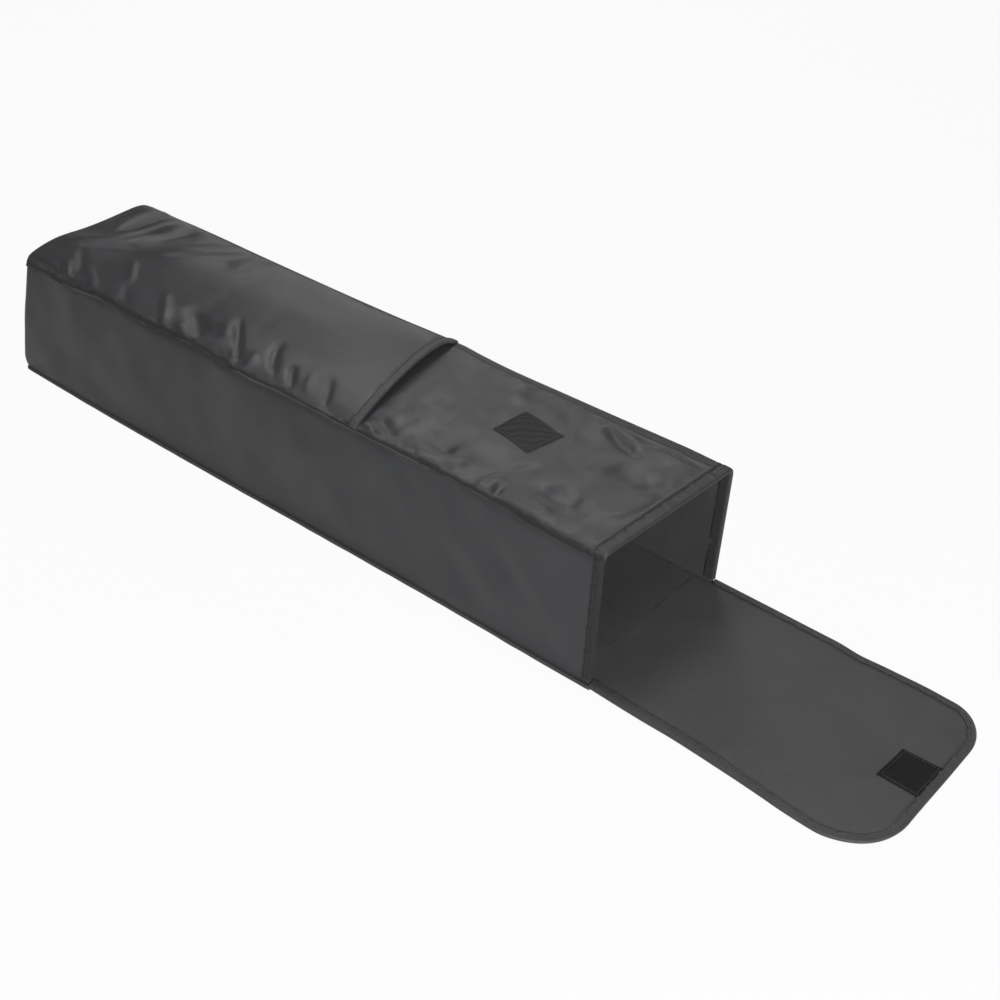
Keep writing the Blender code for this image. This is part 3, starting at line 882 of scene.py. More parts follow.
def fuzzy_finish(name, low, high):
    """Napped or hooked pile: rough, mottled and dull."""
    made, tree, shader = nodes_of(name)
    place = add(tree, "ShaderNodeAttribute", attribute_name="thread").outputs["Vector"]
    tuft = noise_node(tree, place, 700.0, 4.0, 0.7)
    patch = noise_node(tree, place, 90.0, 3.0, 0.6)
    tone = blend_of(tree, tuft, patch, 0.6)
    tree.links.new(colour_between(tree, tone, low, high), shader.inputs["Base Color"])
    tree.links.new(rising(tree, tuft, 0.1, 0.84), shader.inputs["Roughness"])
    shader.inputs["Specular IOR Level"].default_value = 0.2
    bump_chain(tree, shader, ((tuft, 0.0006),))
    return made


def board_finish(name, low, high):
    """Grey stiffening board with short fibres."""
    made, tree, shader = nodes_of(name)
    place = add(tree, "ShaderNodeTexCoord").outputs["Object"]
    fibre = noise_node(tree, place, 420.0, 6.0, 0.7)
    tree.links.new(colour_between(tree, fibre, low, high), shader.inputs["Base Color"])
    tree.links.new(rising(tree, fibre, 0.1, 0.8), shader.inputs["Roughness"])
    bump_chain(tree, shader, ((fibre, 0.0002),))
    return made


THREAD = 0.0007
CHARCOAL = cloth_finish(
    "charcoal_cloth", (0.020, 0.021, 0.023), (0.033, 0.034, 0.037), 0.31, 0.10, THREAD, 0.0003, 0.00004
)
PIPING_FINISH = cloth_finish(
    "piping_cloth", (0.032, 0.033, 0.035), (0.048, 0.049, 0.052), 0.68, 0.15, THREAD, 0.0004, 0.00004
)
TAPE_FINISH = cloth_finish(
    "charcoal_tape", (0.024, 0.025, 0.027), (0.038, 0.039, 0.041), 0.48, 0.10, 0.0010, 0.0003, 0.00007
)
BINDING_FINISH = cloth_finish(
    "flap_tape", (0.024, 0.025, 0.026), (0.040, 0.041, 0.043), 0.48, 0.15, 0.0010, 0.0003, 0.00007
)
# A darker copy of the charcoal tape: painted shade for the mouth's tape
SHADED_MOUTH_FINISH = cloth_finish(
    "mouth_tape_painted_shade", (0.022, 0.023, 0.024), (0.036, 0.037, 0.039), 0.46, 0.08, 0.0010, 0.0003, 0.00007
)
LINING_FINISH = cloth_finish(
    "grey_lining", (0.036, 0.036, 0.037), (0.050, 0.050, 0.051), 0.58, 0.12, THREAD, 0.0005, 0.00004
)
THREAD_FINISH = cloth_finish(
    "sewing_thread", (0.030, 0.031, 0.033), (0.050, 0.051, 0.054), 0.5, 0.1, 0.0004, 0.0001, 0.00003
)
HOOK_FINISH = fuzzy_finish("black_hook", (0.005, 0.005, 0.005), (0.020, 0.020, 0.020))
LOOP_FINISH = fuzzy_finish("black_loop", (0.024, 0.024, 0.025), (0.046, 0.046, 0.048))
BOARD_FINISH = board_finish("grey_board", (0.10, 0.10, 0.10), (0.16, 0.16, 0.155))


# Pieces
def settle(piece, body, slot, *nodes):
    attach(piece, body)
    if nodes:
        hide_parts(*nodes)
    return piece


def wall_piece(name, depth, thickness, finish, step, heights, wrinkles=None, seam=None):
    """One layer of the walls: near side, closed end and far side in one sheet, with painted shade from seam
    where it is given.
    """
    grid = wall_grid(depth, step, heights)
    run, up = distances(grid)
    painted_shade = seam(run, grid[..., 2]) if seam else None
    if wrinkles is not None:
        grid = grid - normals_of(grid) * wrinkles(run, grid[..., 2])[..., None]
    return thicken(grid_object(name, grid, finish, (run, up), seam=painted_shade), thickness, 1)


def wall_painted_shade(run, z):
    """Painted shade of the wall cloth: dark lines beside the mouth's tape, and darker cloth close under the
    top piping and over the bottom piping.
    """
    near, far = run - NEAR_LEG - SEWN_LINE, FULL_RUN - run - TOP_LEG - SEWN_LINE
    line = 0.9 * (bell(near, 0.0011) + bell(far, 0.0011))
    rear = ease(0.30, 0.50, run / FULL_RUN * 2)
    under = lerp(0.2, 0.65, rear) * bell(SEAM_Z - z, 0.009)
    under += lerp(0.8, 0.5, rear) * bell(SEAM_Z - z, 0.0028, 4)
    return line + under + 0.35 * bell(z - 0.003, 0.003)


def outward(run, z):
    """How far the wall cloth stands out; it never goes in, where the board is."""
    return np.maximum(wall_wrinkles(run, z, FULL_RUN), 0)


FULL_RUN = float(distances(wall_grid(0, STEP, np.array([0.0, 0.5, 1.0])))[0].max())


def inward(run, z):
    """How far the wall lining stands in."""
    held = ease(0, 0.02, z) * ease(0, 0.02, SEAM_Z - z)
    held = held * ease(0.01, 0.03, run) * ease(0.01, 0.03, FULL_RUN - run)
    return -held * np.abs(0.0010 * ripple(run, z, 41, 0.09) + 0.0004 * ripple(run, z, 42, 0.03))


def plan_grid(depth, level, front):
    """A level sheet inside the walls' foot, up to front, in rows along the bag."""
    start = end_x(level) + depth
    radius = max(CORNER_RADII.values()) - depth
    turns = np.linspace(0, math.pi / 2, 9)
    rear = start + radius * (1 - np.cos(turns))
    xs = np.concatenate([rear, np.arange(start + radius + STEP, front, STEP), [front]])
    share = np.clip((xs - start) / (MOUTH_X - start), 0, 1)
    near = -(along(NEAR_BASE, share) - depth - corner_cut(-1, xs - start, depth))
    far = along(FAR_BASE, share) - depth - corner_cut(1, xs - start, depth)
    columns = np.linspace(0, 1, 56)
    y = lerp(near[:, None], far[:, None], columns[None])
    x = np.repeat(xs[:, None], len(columns), axis=1)
    return np.stack([x, y, np.full_like(x, level)], axis=-1)


def bare_floor(name, depth, low, thickness, front, finish, uneven=0.0):
    grid = plan_grid(depth, low, front)
    if uneven:
        edge = ease(0, 0.02, front - grid[..., 0])
        grid[..., 2] += edge * np.abs(uneven * ripple(grid[..., 0], grid[..., 1], 51, 0.11))
    return thicken(grid_object(name, grid, finish), thickness, 1)


def top_piece(name, drop, thickness, finish, inset=0.0):
    stations = np.linspace(0, 1, int(round((TOP_FRONT - END_X) / STEP)))
    fine = 1 - np.arange(0, MOUTH_BAND, FINE)[::-1] / (TOP_FRONT - END_X)
    rear = [0, 0.0012, 0.003, 0.006, 0.0095, 0.014]
    stations = np.concatenate([rear, stations[(stations > 0.017) & (stations < fine[0] - 0.002)], fine])
    columns = uneven_columns(TOP_ACROSS)
    x, y, share, _ = top_grid(stations, columns)
    z = SEAM_Z + top_height(x, y, share) - drop
    # Painted shade in the top cloth's seams; the lining gets none
    seam = None if inset else top_painted_shade(x, y, share)
    middle = (top_side(1, share) - top_side(-1, share)) / 2
    y = middle + (y - middle) * (1 - inset / (TOP_ACROSS / 2))
    if not inset:
        y = y + lip(top_side(1, share) - y) - 1.5 * lip(y - top_side(-1, share))
    grid = np.stack([x, y, z], axis=-1)
    return thicken(grid_object(name, grid, finish, seam=seam), thickness, 1)


def pocket_piece():
    columns = uneven_columns(TOP_ACROSS)
    rows = int(round((POCKET_NEAR_X - END_X) / STEP))
    reach = np.linspace(0, 1, rows)
    reach = np.concatenate([[0, 0.002, 0.005, 0.010, 0.016, 0.024], reach[reach > 0.029]])
    share = reach[:, None] * share_at(pocket_front(lerp(-0.094, 0.098, columns)))[None]
    flat = [top_grid(share[:, k], columns[k:k + 1]) for k in range(len(columns))]
    x, y, share = (np.concatenate([part[i] for part in flat], axis=1) for i in range(3))
    z = SEAM_Z + CLOTH + pocket_height(x, y, share)
    back = x - end_x(SEAM_Z)
    # Painted shade: darker cloth just behind the pocket's hem, and in the top's seams
    seam = np.where(pocket_front(y) - x < HEM_WIDTH + 0.003, 0.4, 0) + top_painted_shade(x, y, share)
    near = y + top_side(-1, share)
    out = bulge(x, y, near, back)
    return np.stack([x - overhang(y, back), y + lip(top_side(1, share) - y) - out, z], axis=-1), seam


WAVE_LENGTHS = (0.009, 0.014, 0.023)


def wrap(name, edge, forward, outward, stack, legs, finish, wave, seed, puff=0.0005, shade=0.0):
    """Tape folded round an edge of cloth, from its outer face to its inner one.

    edge holds the points where the cloth stops on its outer face, forward points away from
    the cloth and outward stands on its outer face. legs are the tape's widths on both faces.
    """
    edge, forward, outward = (np.asarray(part, float) for part in (edge, forward, outward))
    count = len(edge)
    stack = np.broadcast_to(np.asarray(stack, float), (count,))
    radius = stack / 2 + GAP
    outer, inner = legs
    rng = random.Random(seed)
    phases = [rng.uniform(0, math.tau) for _ in range(3)]
    run = run_along(edge)
    waves = sum(np.sin(run * math.tau / period + phase) for period, phase in zip(WAVE_LENGTHS, phases))
    section = []
    for share in (1, 0.93, 0.8, 0.6, 0.4, 0.2, 0.05):
        lift = GAP + wave * waves * (1 if share < 0.9 else 0.3) * (0.4 + 0.6 * share)
        lift = lift + puff * arch(share) ** 0.5
        reach = outer + 0.0004 * waves
        section.append((-reach * share, lift if share < 0.97 else GAP))
    for turn in np.linspace(0, math.pi, 7):
        section.append((radius * math.sin(turn), radius * math.cos(turn) - radius + GAP))
    for share in (0.1, 0.35, 0.6, 0.85, 1):
        section.append((-inner * share, -stack - GAP))
    columns = []
    for ahead, off in section:
        ahead, off = (np.broadcast_to(part, (count,))[:, None] for part in (ahead, off))
        columns.append(edge + forward * ahead + outward * off)
    grid = np.stack(columns, axis=1)
    # Painted shade: a dark line along the edge of the tape's outer leg, plus the shade that is given
    line = np.array([0.7, 0.35] + [0.0] * (len(section) - 2))
    seam = np.broadcast_to(np.asarray(shade, float), (count,))[:, None] + line
    made = grid_object(name, grid, finish, seam=seam)
    return thicken(made, TAPE, -1)


def mouth_edge():
    """The mouth's outer edge from the near foot, over the top, to the far foot."""
    heights = np.linspace(0, 1, 36)
    heights = heights[heights * SEAM_Z > WALL_STACK + GAP]
    near = side_points(-1, np.array([1.0]), heights, 0)[0]
    far = side_points(1, np.array([1.0]), heights, 0)[0][::-1]
    columns = uneven_columns(TOP_ACROSS)
    x, y, share, _ = top_grid(np.array([1.0]), columns)
    z = SEAM_Z + top_height(x, y, share) + CLOTH
    top = np.stack([x, y, z], axis=-1)[0]
    edge = np.concatenate([near, top[1:-1], far])
    parts = (len(near), len(top) - 2, len(far))
    stack = np.repeat([WALL_STACK, TOP_STACK, WALL_STACK], parts)
    return edge, stack, np.repeat([NEAR_LEG, TOP_LEG, TOP_LEG], parts)


def smooth_path(points, rounds):
    points = np.array(points, float)
    for _ in range(rounds):
        points[1:-1] = (points[:-2] + 2 * points[1:-1] + points[2:]) / 4
    return points


def resample(points, count, *others):
    """The path and its companions at even steps."""
    run = run_along(points)
    at = np.linspace(0, run[-1], count)
    out = [np.stack([np.interp(at, run, points[:, k]) for k in range(3)], axis=1)]
    out += [np.interp(at, run, other) for other in others]
    return out


def stitch_row(name, path, normals, finish, pitch=0.0036, length=0.0024, radius=0.00034):
    """A row of stitches, each a short thread that dips into the cloth at both ends."""
    run = run_along(path)
    verts, faces, flats = [], [], []
    sides = 5
    for start in np.arange(pitch / 2, run[-1] - pitch, pitch):
        at = start + np.linspace(0, length, 5)
        spine = np.stack([np.interp(at, run, path[:, k]) for k in range(3)], axis=1)
        up = unit(np.stack([np.interp(at, run, normals[:, k]) for k in range(3)], axis=1))
        spine += up * (np.array([-0.5, 0.35, 0.7, 0.35, -0.5]) * radius)[:, None]
        across = np.cross(unit(np.gradient(spine, axis=0)), up)
        first = len(verts)
        for k in range(5):
            size = radius * (0.75 if k in (0, 4) else 1)
            for side in range(sides):
                turn = math.tau * side / sides
                verts.append(spine[k] + size * (across[k] * math.cos(turn) + up[k] * math.sin(turn)))
                flats.append((at[k], turn * radius, 0))
        for k in range(4):
            for side in range(sides):
                a, b = first + k * sides + side, first + k * sides + (side + 1) % sides
                faces.append((a, b, b + sides, a + sides))
        faces.append(tuple(first + side for side in reversed(range(sides))))
        faces.append(tuple(first + 4 * sides + side for side in range(sides)))
    mesh = bpy.data.meshes.new(name)
    mesh.from_pydata([tuple(map(float, v)) for v in verts], [], faces)
    mesh.shade_smooth()
    set_thread(mesh, flats)
    return link(name, mesh, finish)


# Walls, floor and linings
# The wall cloth carries painted shade beside the mouth's tape and along its piping
wall_cloth = wall_piece(
    "wall_cloth_sewn", 0, CLOTH, CHARCOAL, STEP, uneven_columns(SEAM_Z, 0.010), outward, wall_painted_shade
)
settle(wall_cloth, "bag", "charcoal_cloth", "wall_cloth")

# The board stops a little below the seam
BOARD_RISE = 1 - 0.007 / SEAM_Z
wall_board = wall_piece(
    "wall_board_bent", BOARD_DEPTH, BOARD, BOARD_FINISH, 0.012, np.linspace(0, BOARD_RISE, 6)
)
settle(wall_board, "bag", "grey_board", "near_board", "far_board", "end_board")

wall_lining = wall_piece(
    "wall_lining_sewn", LINING_DEPTH, LINING, LINING_FINISH, 0.006, np.linspace(0, 1, 30), inward
)
settle(wall_lining, "bag", "grey_lining", "wall_lining")

HINGE_NEAR = HINGE.x - 0.012
bottom_cloth = bare_floor("bottom_cloth_sewn", 0, 0, CLOTH, HINGE_NEAR, CHARCOAL)
settle(bottom_cloth, "bag", "charcoal_cloth", "bottom_cloth")

bottom_lining = bare_floor(
    "bottom_lining_sewn", WALL_STACK, LINING_TOP - LINING, LINING, MOUTH_X, LINING_FINISH, 0.0009
)
settle(bottom_lining, "bag", "grey_lining", "bottom_lining")

bottom_board = frame["nodes"]["bottom_board"]
bottom_board.data.materials.clear()
bottom_board.data.materials.append(BOARD_FINISH)

# Top
top_cloth = top_piece("top_cloth_sewn", 0, CLOTH, CHARCOAL)
settle(top_cloth, "bag", "charcoal_cloth", "top_cloth")

top_lining = top_piece("top_lining_sewn", GAP + LINING, LINING, LINING_FINISH, 0.0045)
settle(top_lining, "bag", "grey_lining", "top_lining")

pocket_grid, pocket_painted_shade = pocket_piece()
pocket = thicken(grid_object("pocket_panel_sewn", pocket_grid, CHARCOAL, seam=pocket_painted_shade), CLOTH, 1)
settle(pocket, "bag", "charcoal_cloth", "pocket_panel")

hem_edge = pocket_grid[-1].copy()
hem_edge[:, 2] += CLOTH
hem_forward = unit(pocket_grid[-1] - pocket_grid[-4])
hem_up = unit(np.cross(hem_forward, np.gradient(hem_edge, axis=0)))
pocket_hem = wrap(
    "pocket_hem_sewn", hem_edge, hem_forward, hem_up, CLOTH, (HEM_WIDTH, HEM_WIDTH - 0.001), TAPE_FINISH,
    0.00012, 61
)
settle(pocket_hem, "bag", "charcoal_tape", "pocket_hem")

# Mouth
edge, stack, mouth_leg = mouth_edge()
edge = smooth_path(edge, 1)
edge, stack, mouth_leg = resample(edge, 260, stack, mouth_leg)
along_edge = np.gradient(edge, axis=0)
along_edge[:, 0] = 0
edge_forward = np.tile(np.array([1.0, 0, 0]), (len(edge), 1))
edge_outward = np.cross(edge_forward, unit(along_edge))
# Painted shade on the upright part of the mouth's tape at the near side
mouth_binding = wrap(
    "mouth_binding_sewn", edge, edge_forward, edge_outward, stack, (mouth_leg, MOUTH_INNER_LEG), SHADED_MOUTH_FINISH,
    0.00022, 62, 0.0005, 0.85 * (1 - ease(NEAR_LEG, TOP_LEG, mouth_leg))
)
settle(mouth_binding, "bag", "charcoal_tape", "mouth_binding_near", "mouth_binding_far", "mouth_binding_top")


# Piping
TOP_PIPING = PIPING_RADIUS * 0.62


def piping_path(base, out):
    """The seam's line at the foot or at the top, from the near mouth round to the far mouth."""
    level = 0 if base else 1
    line = wall_grid(-out, 0.0045, np.array([0.0, 1.0]))[:, level].copy()
    if base:
        ends = line[[0, -1]].copy()
        ends[:, 0] = HINGE.x
        line = np.concatenate([ends[:1], line, ends[1:]])
    return line


foot_line = piping_path(True, PIPING_RADIUS * 0.65)
foot_run = run_along(foot_line)
foot_size = PIPING_RADIUS * (1 + 0.06 * ripple(foot_run, 0 * foot_run, 71, 0.03))
foot_size = foot_size * lerp(0.85, 1, ease(0, 0.008, foot_run) * ease(0, 0.008, foot_run[-1] - foot_run))
foot_line[:, 2] = foot_size.max() + 0.0002
bottom_piping = tube("bottom_piping_sewn", foot_line, foot_size, PIPING_FINISH)
settle(bottom_piping, "bag", "charcoal_cloth", "bottom_piping")

# How deep the piping lies in the seam's shade, from the closed end to the mouth
PIPING_SHADE = (
    (0, 0), (0.10, 0), (0.15, 0.35), (0.38, 0.45), (0.42, 0.05), (0.58, 0), (0.75, 0.1), (0.82, 0.4),
    (0.88, 0.8), (1, 0.9),
)
seam_line = piping_path(False, TOP_PIPING * 0.8)
seam_run = run_along(seam_line)
seam_left = seam_run[-1] - seam_run
tucked = 1 - ease(0.0, 0.030, seam_left - (MOUTH_X - END_X) + 0.020)
seam_line[:, 1] -= 0.0012 * tucked
seam_waves = 0.0004 * ripple(seam_run, 0 * seam_run, 72, 0.024) * (1 - tucked)
seam_line[:, 2] += lerp(-0.0022, -0.0014, tucked) + seam_waves
seam_size = TOP_PIPING * (1 + 0.14 * ripple(seam_run, 0 * seam_run, 73, 0.014))
seam_kept = (seam_run > 0.005) & (seam_left > 0.005)
seam_size = seam_size * lerp(0.3, 1, ease(0.005, 0.020, seam_run) * ease(0.005, 0.020, seam_left))
piping_share = (seam_line[:, 0] - END_X) / (MOUTH_X - END_X)
piping_shade = along(PIPING_SHADE, piping_share)
piping_shade = piping_shade + 0.16 * ripple(seam_run, 0 * seam_run, 74, 0.020)
top_piping = tube(
    "top_piping_sewn", seam_line[seam_kept], seam_size[seam_kept], PIPING_FINISH, piping_shade[seam_kept]
)
settle(top_piping, "bag", "charcoal_cloth", "top_piping")

# Flap
FLAP_CORNERS = {-1: (0.056, 0.060, 1.9), 1: (0.038, 0.048, 2.0)}
FLAP_EDGE = FLAP_END - TAPE - GAP - 0.0020
FLAP_LEG = 0.0068
NEAR_FLAP = (
    (0, 0.1098), (0.1, 0.1115), (0.21, 0.1128), (0.305, 0.1133), (0.4, 0.1151), (0.5, 0.1176),
    (0.6, 0.1212), (0.7, 0.1255), (0.78, 0.1267), (0.9, 0.1267), (1, 0.1268),
)
FAR_FLAP = ((0, 0.1065), (0.3, 0.1052), (0.6, 0.1038), (0.8, 0.1033), (1, 0.1031))
BOARD_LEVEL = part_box("flap_front_lining")[0][2]
TONGUE_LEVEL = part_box("tongue_lining")[0][2]
CLOTH_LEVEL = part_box("tongue_cloth")[0][2]
SPLIT_X = (HINGE.x + FOLD.x) / 2


def flap_half(side, x):
    """How far the flap's cloth reaches to one side, with its round outer corner."""
    share = (x - HINGE.x) / (FLAP_EDGE - HINGE.x)
    half = along(NEAR_FLAP if side < 0 else FAR_FLAP, np.clip(share, 0, 1))
    reach, width, power = FLAP_CORNERS[side]
    into = np.clip((x - FLAP_EDGE) / reach + 1, 0, 1)
    return half - width * (1 - np.clip(1 - into**power, 0, None) ** (1 / power))


def flap_lift(x, y):
    """The loose tongue doesn't lie quite flat."""
    loose = ease(FOLD.x + 0.01, FOLD.x + 0.06, x)
    waves = 0.0010 * (1 + ripple(x, y, 81, 0.12)) + 0.0003 * (1 + ripple(x, y, 82, 0.045))
    return loose * np.maximum(waves, 0)


def lining_level(x):
    """Height of the flap lining's underside along the flap."""
    mouth = ease(HINGE.x - 0.020, HINGE.x + 0.002, x)
    front = lerp(LINING_TOP + 0.0001, BOARD_LEVEL, mouth)
    return lerp(front, TONGUE_LEVEL, ease(FOLD.x - 0.002, FOLD.x + 0.030, x))


def under_level(x):
    """Height of the flap's lower cloth along the flap."""
    return lerp(0, CLOTH_LEVEL, ease(HINGE_NEAR, HINGE.x - 0.001, x))


def flap_stations(low, high):
    """Places along the flap, closer together at its hinges and round its end."""
    radius = FLAP_CORNERS[-1][0]
    flat = np.arange(low, min(high, FLAP_EDGE - radius), STEP)
    close = [np.arange(at - 0.012, at + 0.012, 0.0012) for at in (HINGE.x, FOLD.x)]
    turns = FLAP_EDGE - radius + radius * np.sin(np.linspace(0, math.pi / 2, 26))
    places = np.unique(np.round(np.concatenate([flat, *close, turns]), 5))
    places = places[(places > low + CLOSEST) & (places < high - CLOSEST)]
    places = places[np.concatenate([[True], np.diff(places) > CLOSEST])]
    return np.concatenate([[low], places, [high]])


def flap_painted_shade(x, y):
    """Painted shade: a dark line beside the tape round the flap."""
    end = FLAP_EDGE - x
    edge = np.minimum(np.minimum(y + flap_half(-1, x), flap_half(1, x) - y), end)
    return 0.7 * bell(edge - FLAP_LEG - SEWN_LINE, 0.0012) * ease(HINGE.x, HINGE.x + 0.004, x)


def flap_sheet(name, low, high, level, finish, thickness, narrow=0.0, relief=None):
    xs = flap_stations(low, high)
    columns = uneven_columns(FLAP_ACROSS)
    near = -flap_half(-1, xs)
    far = flap_half(1, xs)
    if narrow:
        inside = 1 - ease(HINGE.x + 0.0004, HINGE.x + 0.0030, xs)
        near = lerp(near, -narrow, inside)
        far = lerp(far, narrow, inside)
    y = lerp(near[:, None], far[:, None], columns[None])
    x = np.repeat(xs[:, None], len(columns), axis=1)
    z = level(x) + flap_lift(x, y)
    if relief is not None:
        z = z + relief(x, y)
    grid = np.stack([x, y, z], axis=-1)
    # Painted shade beside the flap's tape, on its lining only
    seam = flap_painted_shade(x, y) if relief is not None else None
    return thicken(grid_object(name, grid, finish, (x, y), seam=seam), thickness, 1)


def lining_relief(x, y):
    """Shallow wrinkles of the flap's inner face."""
    edge = np.minimum(y + flap_half(-1, x), flap_half(1, x) - y)
    inner = ease(0.006, 0.020, edge) * ease(HINGE.x - 0.01, HINGE.x + 0.02, x)
    total = 0.0004 * (1 + ripple(x, y, 83, 0.06))
    for start, end, width, height in FLAP_FOLDS:
        total = total + fold(x, y, start, end, width, height, 0.5)
    return inner * np.maximum(total, 0)


FLAP_FOLDS = (
    ((0.690, -0.030), (0.655, -0.062), 0.006, 0.0010),
    ((0.500, 0.095), (0.560, 0.040), 0.012, 0.0008),
    ((0.610, 0.100), (0.640, 0.030), 0.010, 0.0008),
)

# The front lining runs this far into the bag and keeps this far from its middle there
LINING_LAP = 0.022
CLEAR_HALF = 0.0985

lining_front = flap_sheet(
    "flap_lining_hinge", HINGE.x - LINING_LAP, SPLIT_X, lining_level, LINING_FINISH, LINING, CLEAR_HALF,
    lining_relief
)
lining_tongue = flap_sheet(
    "flap_lining_fold", SPLIT_X, FLAP_EDGE, lining_level, LINING_FINISH, LINING, 0.0, lining_relief
)
under_front = flap_sheet("flap_cloth_hinge", HINGE_NEAR, SPLIT_X, under_level, CHARCOAL, CLOTH)
under_tongue = flap_sheet("flap_cloth_fold", SPLIT_X, FLAP_EDGE, under_level, CHARCOAL, CLOTH)


def apply_modifiers(piece):
    """Turns a piece's modifiers into plain mesh."""
    view = bpy.context.evaluated_depsgraph_get()
    seen = piece.evaluated_get(view)
    mesh = bpy.data.meshes.new_from_object(seen, preserve_all_data_layers=True, depsgraph=view)
    mesh.name = piece.name
    mesh.set_sharp_from_angle(angle=math.radians(60))
    piece.modifiers.clear()
    piece.data = mesh
    return piece


for piece, slot, nodes in (
    (lining_front, "grey_lining", ("flap_front_lining",)),
    (under_front, "charcoal_cloth", ("flap_front_cloth",)),
):
    apply_modifiers(piece)
    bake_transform(piece)
    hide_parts(*nodes)

for piece, slot, nodes in (
    (lining_tongue, "grey_lining", ("tongue_lining",)),
    (under_tongue, "charcoal_cloth", ("tongue_cloth",)),
):
    apply_modifiers(piece)
    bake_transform(piece)
    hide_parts(*nodes)


def flap_edge_path():
    """The flap's outline from the near hinge round the outer corners to the far hinge."""
    xs = flap_stations(HINGE.x - 0.0020, FLAP_EDGE)
    near = np.stack([xs, -flap_half(-1, xs)], axis=1)
    far = np.stack([xs, flap_half(1, xs)], axis=1)[::-1]
    end = np.linspace(near[-1], far[0], 40)[1:-1]
    plan = np.concatenate([near, end, far])
    flat = np.concatenate([plan, np.zeros((len(plan), 1))], axis=1)
    return resample(flat, 520)[0]


flap_line = flap_edge_path()
flap_forward = np.cross(unit(np.gradient(flap_line, axis=0)), [0, 0, 1.0])
flap_rise = flap_lift(flap_line[:, 0], flap_line[:, 1])
flap_top = lining_level(flap_line[:, 0]) + LINING + flap_rise
flap_low = under_level(flap_line[:, 0]) + flap_rise
flap_line[:, 2] = flap_top
flap_up = np.tile([0, 0, 1.0], (len(flap_line), 1))
flap_binding = wrap(
    "flap_binding_sewn", flap_line, flap_forward, flap_up, flap_top - flap_low, (FLAP_LEG, FLAP_INNER_LEG),
    BINDING_FINISH, 0.00010, 63, 0.0003
)
apply_modifiers(flap_binding)
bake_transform(flap_binding)
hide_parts("flap_binding_near", "flap_binding_far", "tongue_binding")

flap_board = frame["nodes"]["flap_front_board"]
flap_board.data.materials.clear()
flap_board.data.materials.append(BOARD_FINISH)


# Patches
RIDGE_PERIOD = 0.0085
PILE_STEP = 0.0006
PATCH_STITCHES = 0.0030


def patch_place(corners, u, v):
    """A point of a sewn patch: u along the bag and v across it, both from -0.5 to 0.5."""
    rear_near, front_near, front_far, rear_far = corners
    near = [lerp(rear_near[k], front_near[k], u + 0.5) for k in (0, 1)]
    far = [lerp(rear_far[k], front_far[k], u + 0.5) for k in (0, 1)]
    return [lerp(near[k], far[k], v + 0.5) for k in (0, 1)]


def rounded_patch(name, corners, size, thickness, surface, finish, pile, seed, ridges=0.0):
    """A sewn patch: fine pile on top, a pressed border and sides that meet the cloth."""
    u, v = np.meshgrid(*(np.linspace(-0.5, 0.5, int(part / PILE_STEP)) for part in size), indexing="ij")
    rng = np.random.default_rng(seed)
    fuzz = rng.normal(0, 1, u.shape)
    du, dv = (0.5 - np.abs(u)) * size[0], (0.5 - np.abs(v)) * size[1]
    border = np.minimum(du, dv)
    inner = ease(0.0026, 0.0044, border)
    rise = thickness * (0.62 + 0.38 * inner) * ease(-0.0012, 0.0008, border)
    groove = -0.0004 * bell(border - PATCH_STITCHES, 0.0007)
    x, y = patch_place(corners, u, v)
    across = (x - y) / math.sqrt(2) + 0.0022 * ripple(x, y, seed, 0.03)
    rise = rise + ridges * inner * (1 + np.sin(math.tau * across / RIDGE_PERIOD)) / 2
    z = surface(x, y) + rise + groove + fuzz * pile * inner
    grid = np.stack([x, y, z], axis=-1)
    made = grid_object(name, grid, finish, (u * size[0], v * size[1]))
    skirt(made, grid, surface)
    return made


def skirt(made, grid, surface):
    """Closes a raised grid down to the cloth with side faces and a bottom."""
    bm = bm_of(made.data)
    rows, columns = grid.shape[:2]
    ring = [(i, 0) for i in range(rows)] + [(rows - 1, j) for j in range(1, columns)]
    ring += [(i, columns - 1) for i in range(rows - 2, -1, -1)] + [(0, j) for j in range(columns - 2, 0, -1)]
    tops = [bm.verts[i * columns + j] for i, j in ring]
    layer = bm.verts.layers.float_vector["thread"]
    lows = []
    for top, (i, j) in zip(tops, ring):
        place = grid[i, j]
        low = bm.verts.new((place[0], place[1], float(surface(place[0], place[1])) + 0.0001))
        low[layer] = top[layer]
        lows.append(low)
    count = len(ring)
    for k in range(count):
        following = (k + 1) % count
        bm.faces.new((tops[k], lows[k], lows[following], tops[following]))
    bm.faces.new(lows[::-1])
    bmesh.ops.recalc_face_normals(bm, faces=bm.faces)
    for face in bm.faces:
        face.smooth = True
    bm.to_mesh(made.data)
    bm.free()


def top_skin(x, y):
    """Height of the top cloth's outer face."""
    return SEAM_Z + top_height(x, y, share_at(x)) + CLOTH


def flap_skin(x, y):
    """Height of the flap's inner face."""
    return lining_level(x) + flap_lift(x, y) + lining_relief(x, y) + LINING


LOOP_CORNERS = ((0.2110, -0.0125), (0.2585, -0.0172), (0.2670, 0.0325), (0.2150, 0.0360))
LOOP_SIZE = (LOOP_BOX[1][0] - LOOP_BOX[0][0], LOOP_BOX[1][1] - LOOP_BOX[0][1])
HOOK_CORNERS = ((0.6798, -0.0345), (0.7210, -0.0340), (0.7212, 0.0160), (0.6812, 0.0150))
HOOK_SIZE = (HOOK_BOX[1][0] - HOOK_BOX[0][0], HOOK_BOX[1][1] - HOOK_BOX[0][1])
loop_patch = rounded_patch(
    "loop_patch_sewn", LOOP_CORNERS, LOOP_SIZE, 0.0012, top_skin, LOOP_FINISH, 0.00010, 5, 0.0009
)
settle(loop_patch, "bag", "black_loop", "loop_patch")
hook_patch = rounded_patch(
    "hook_patch_sewn", HOOK_CORNERS, HOOK_SIZE, 0.0016, flap_skin, HOOK_FINISH, 0.00016, 6
)
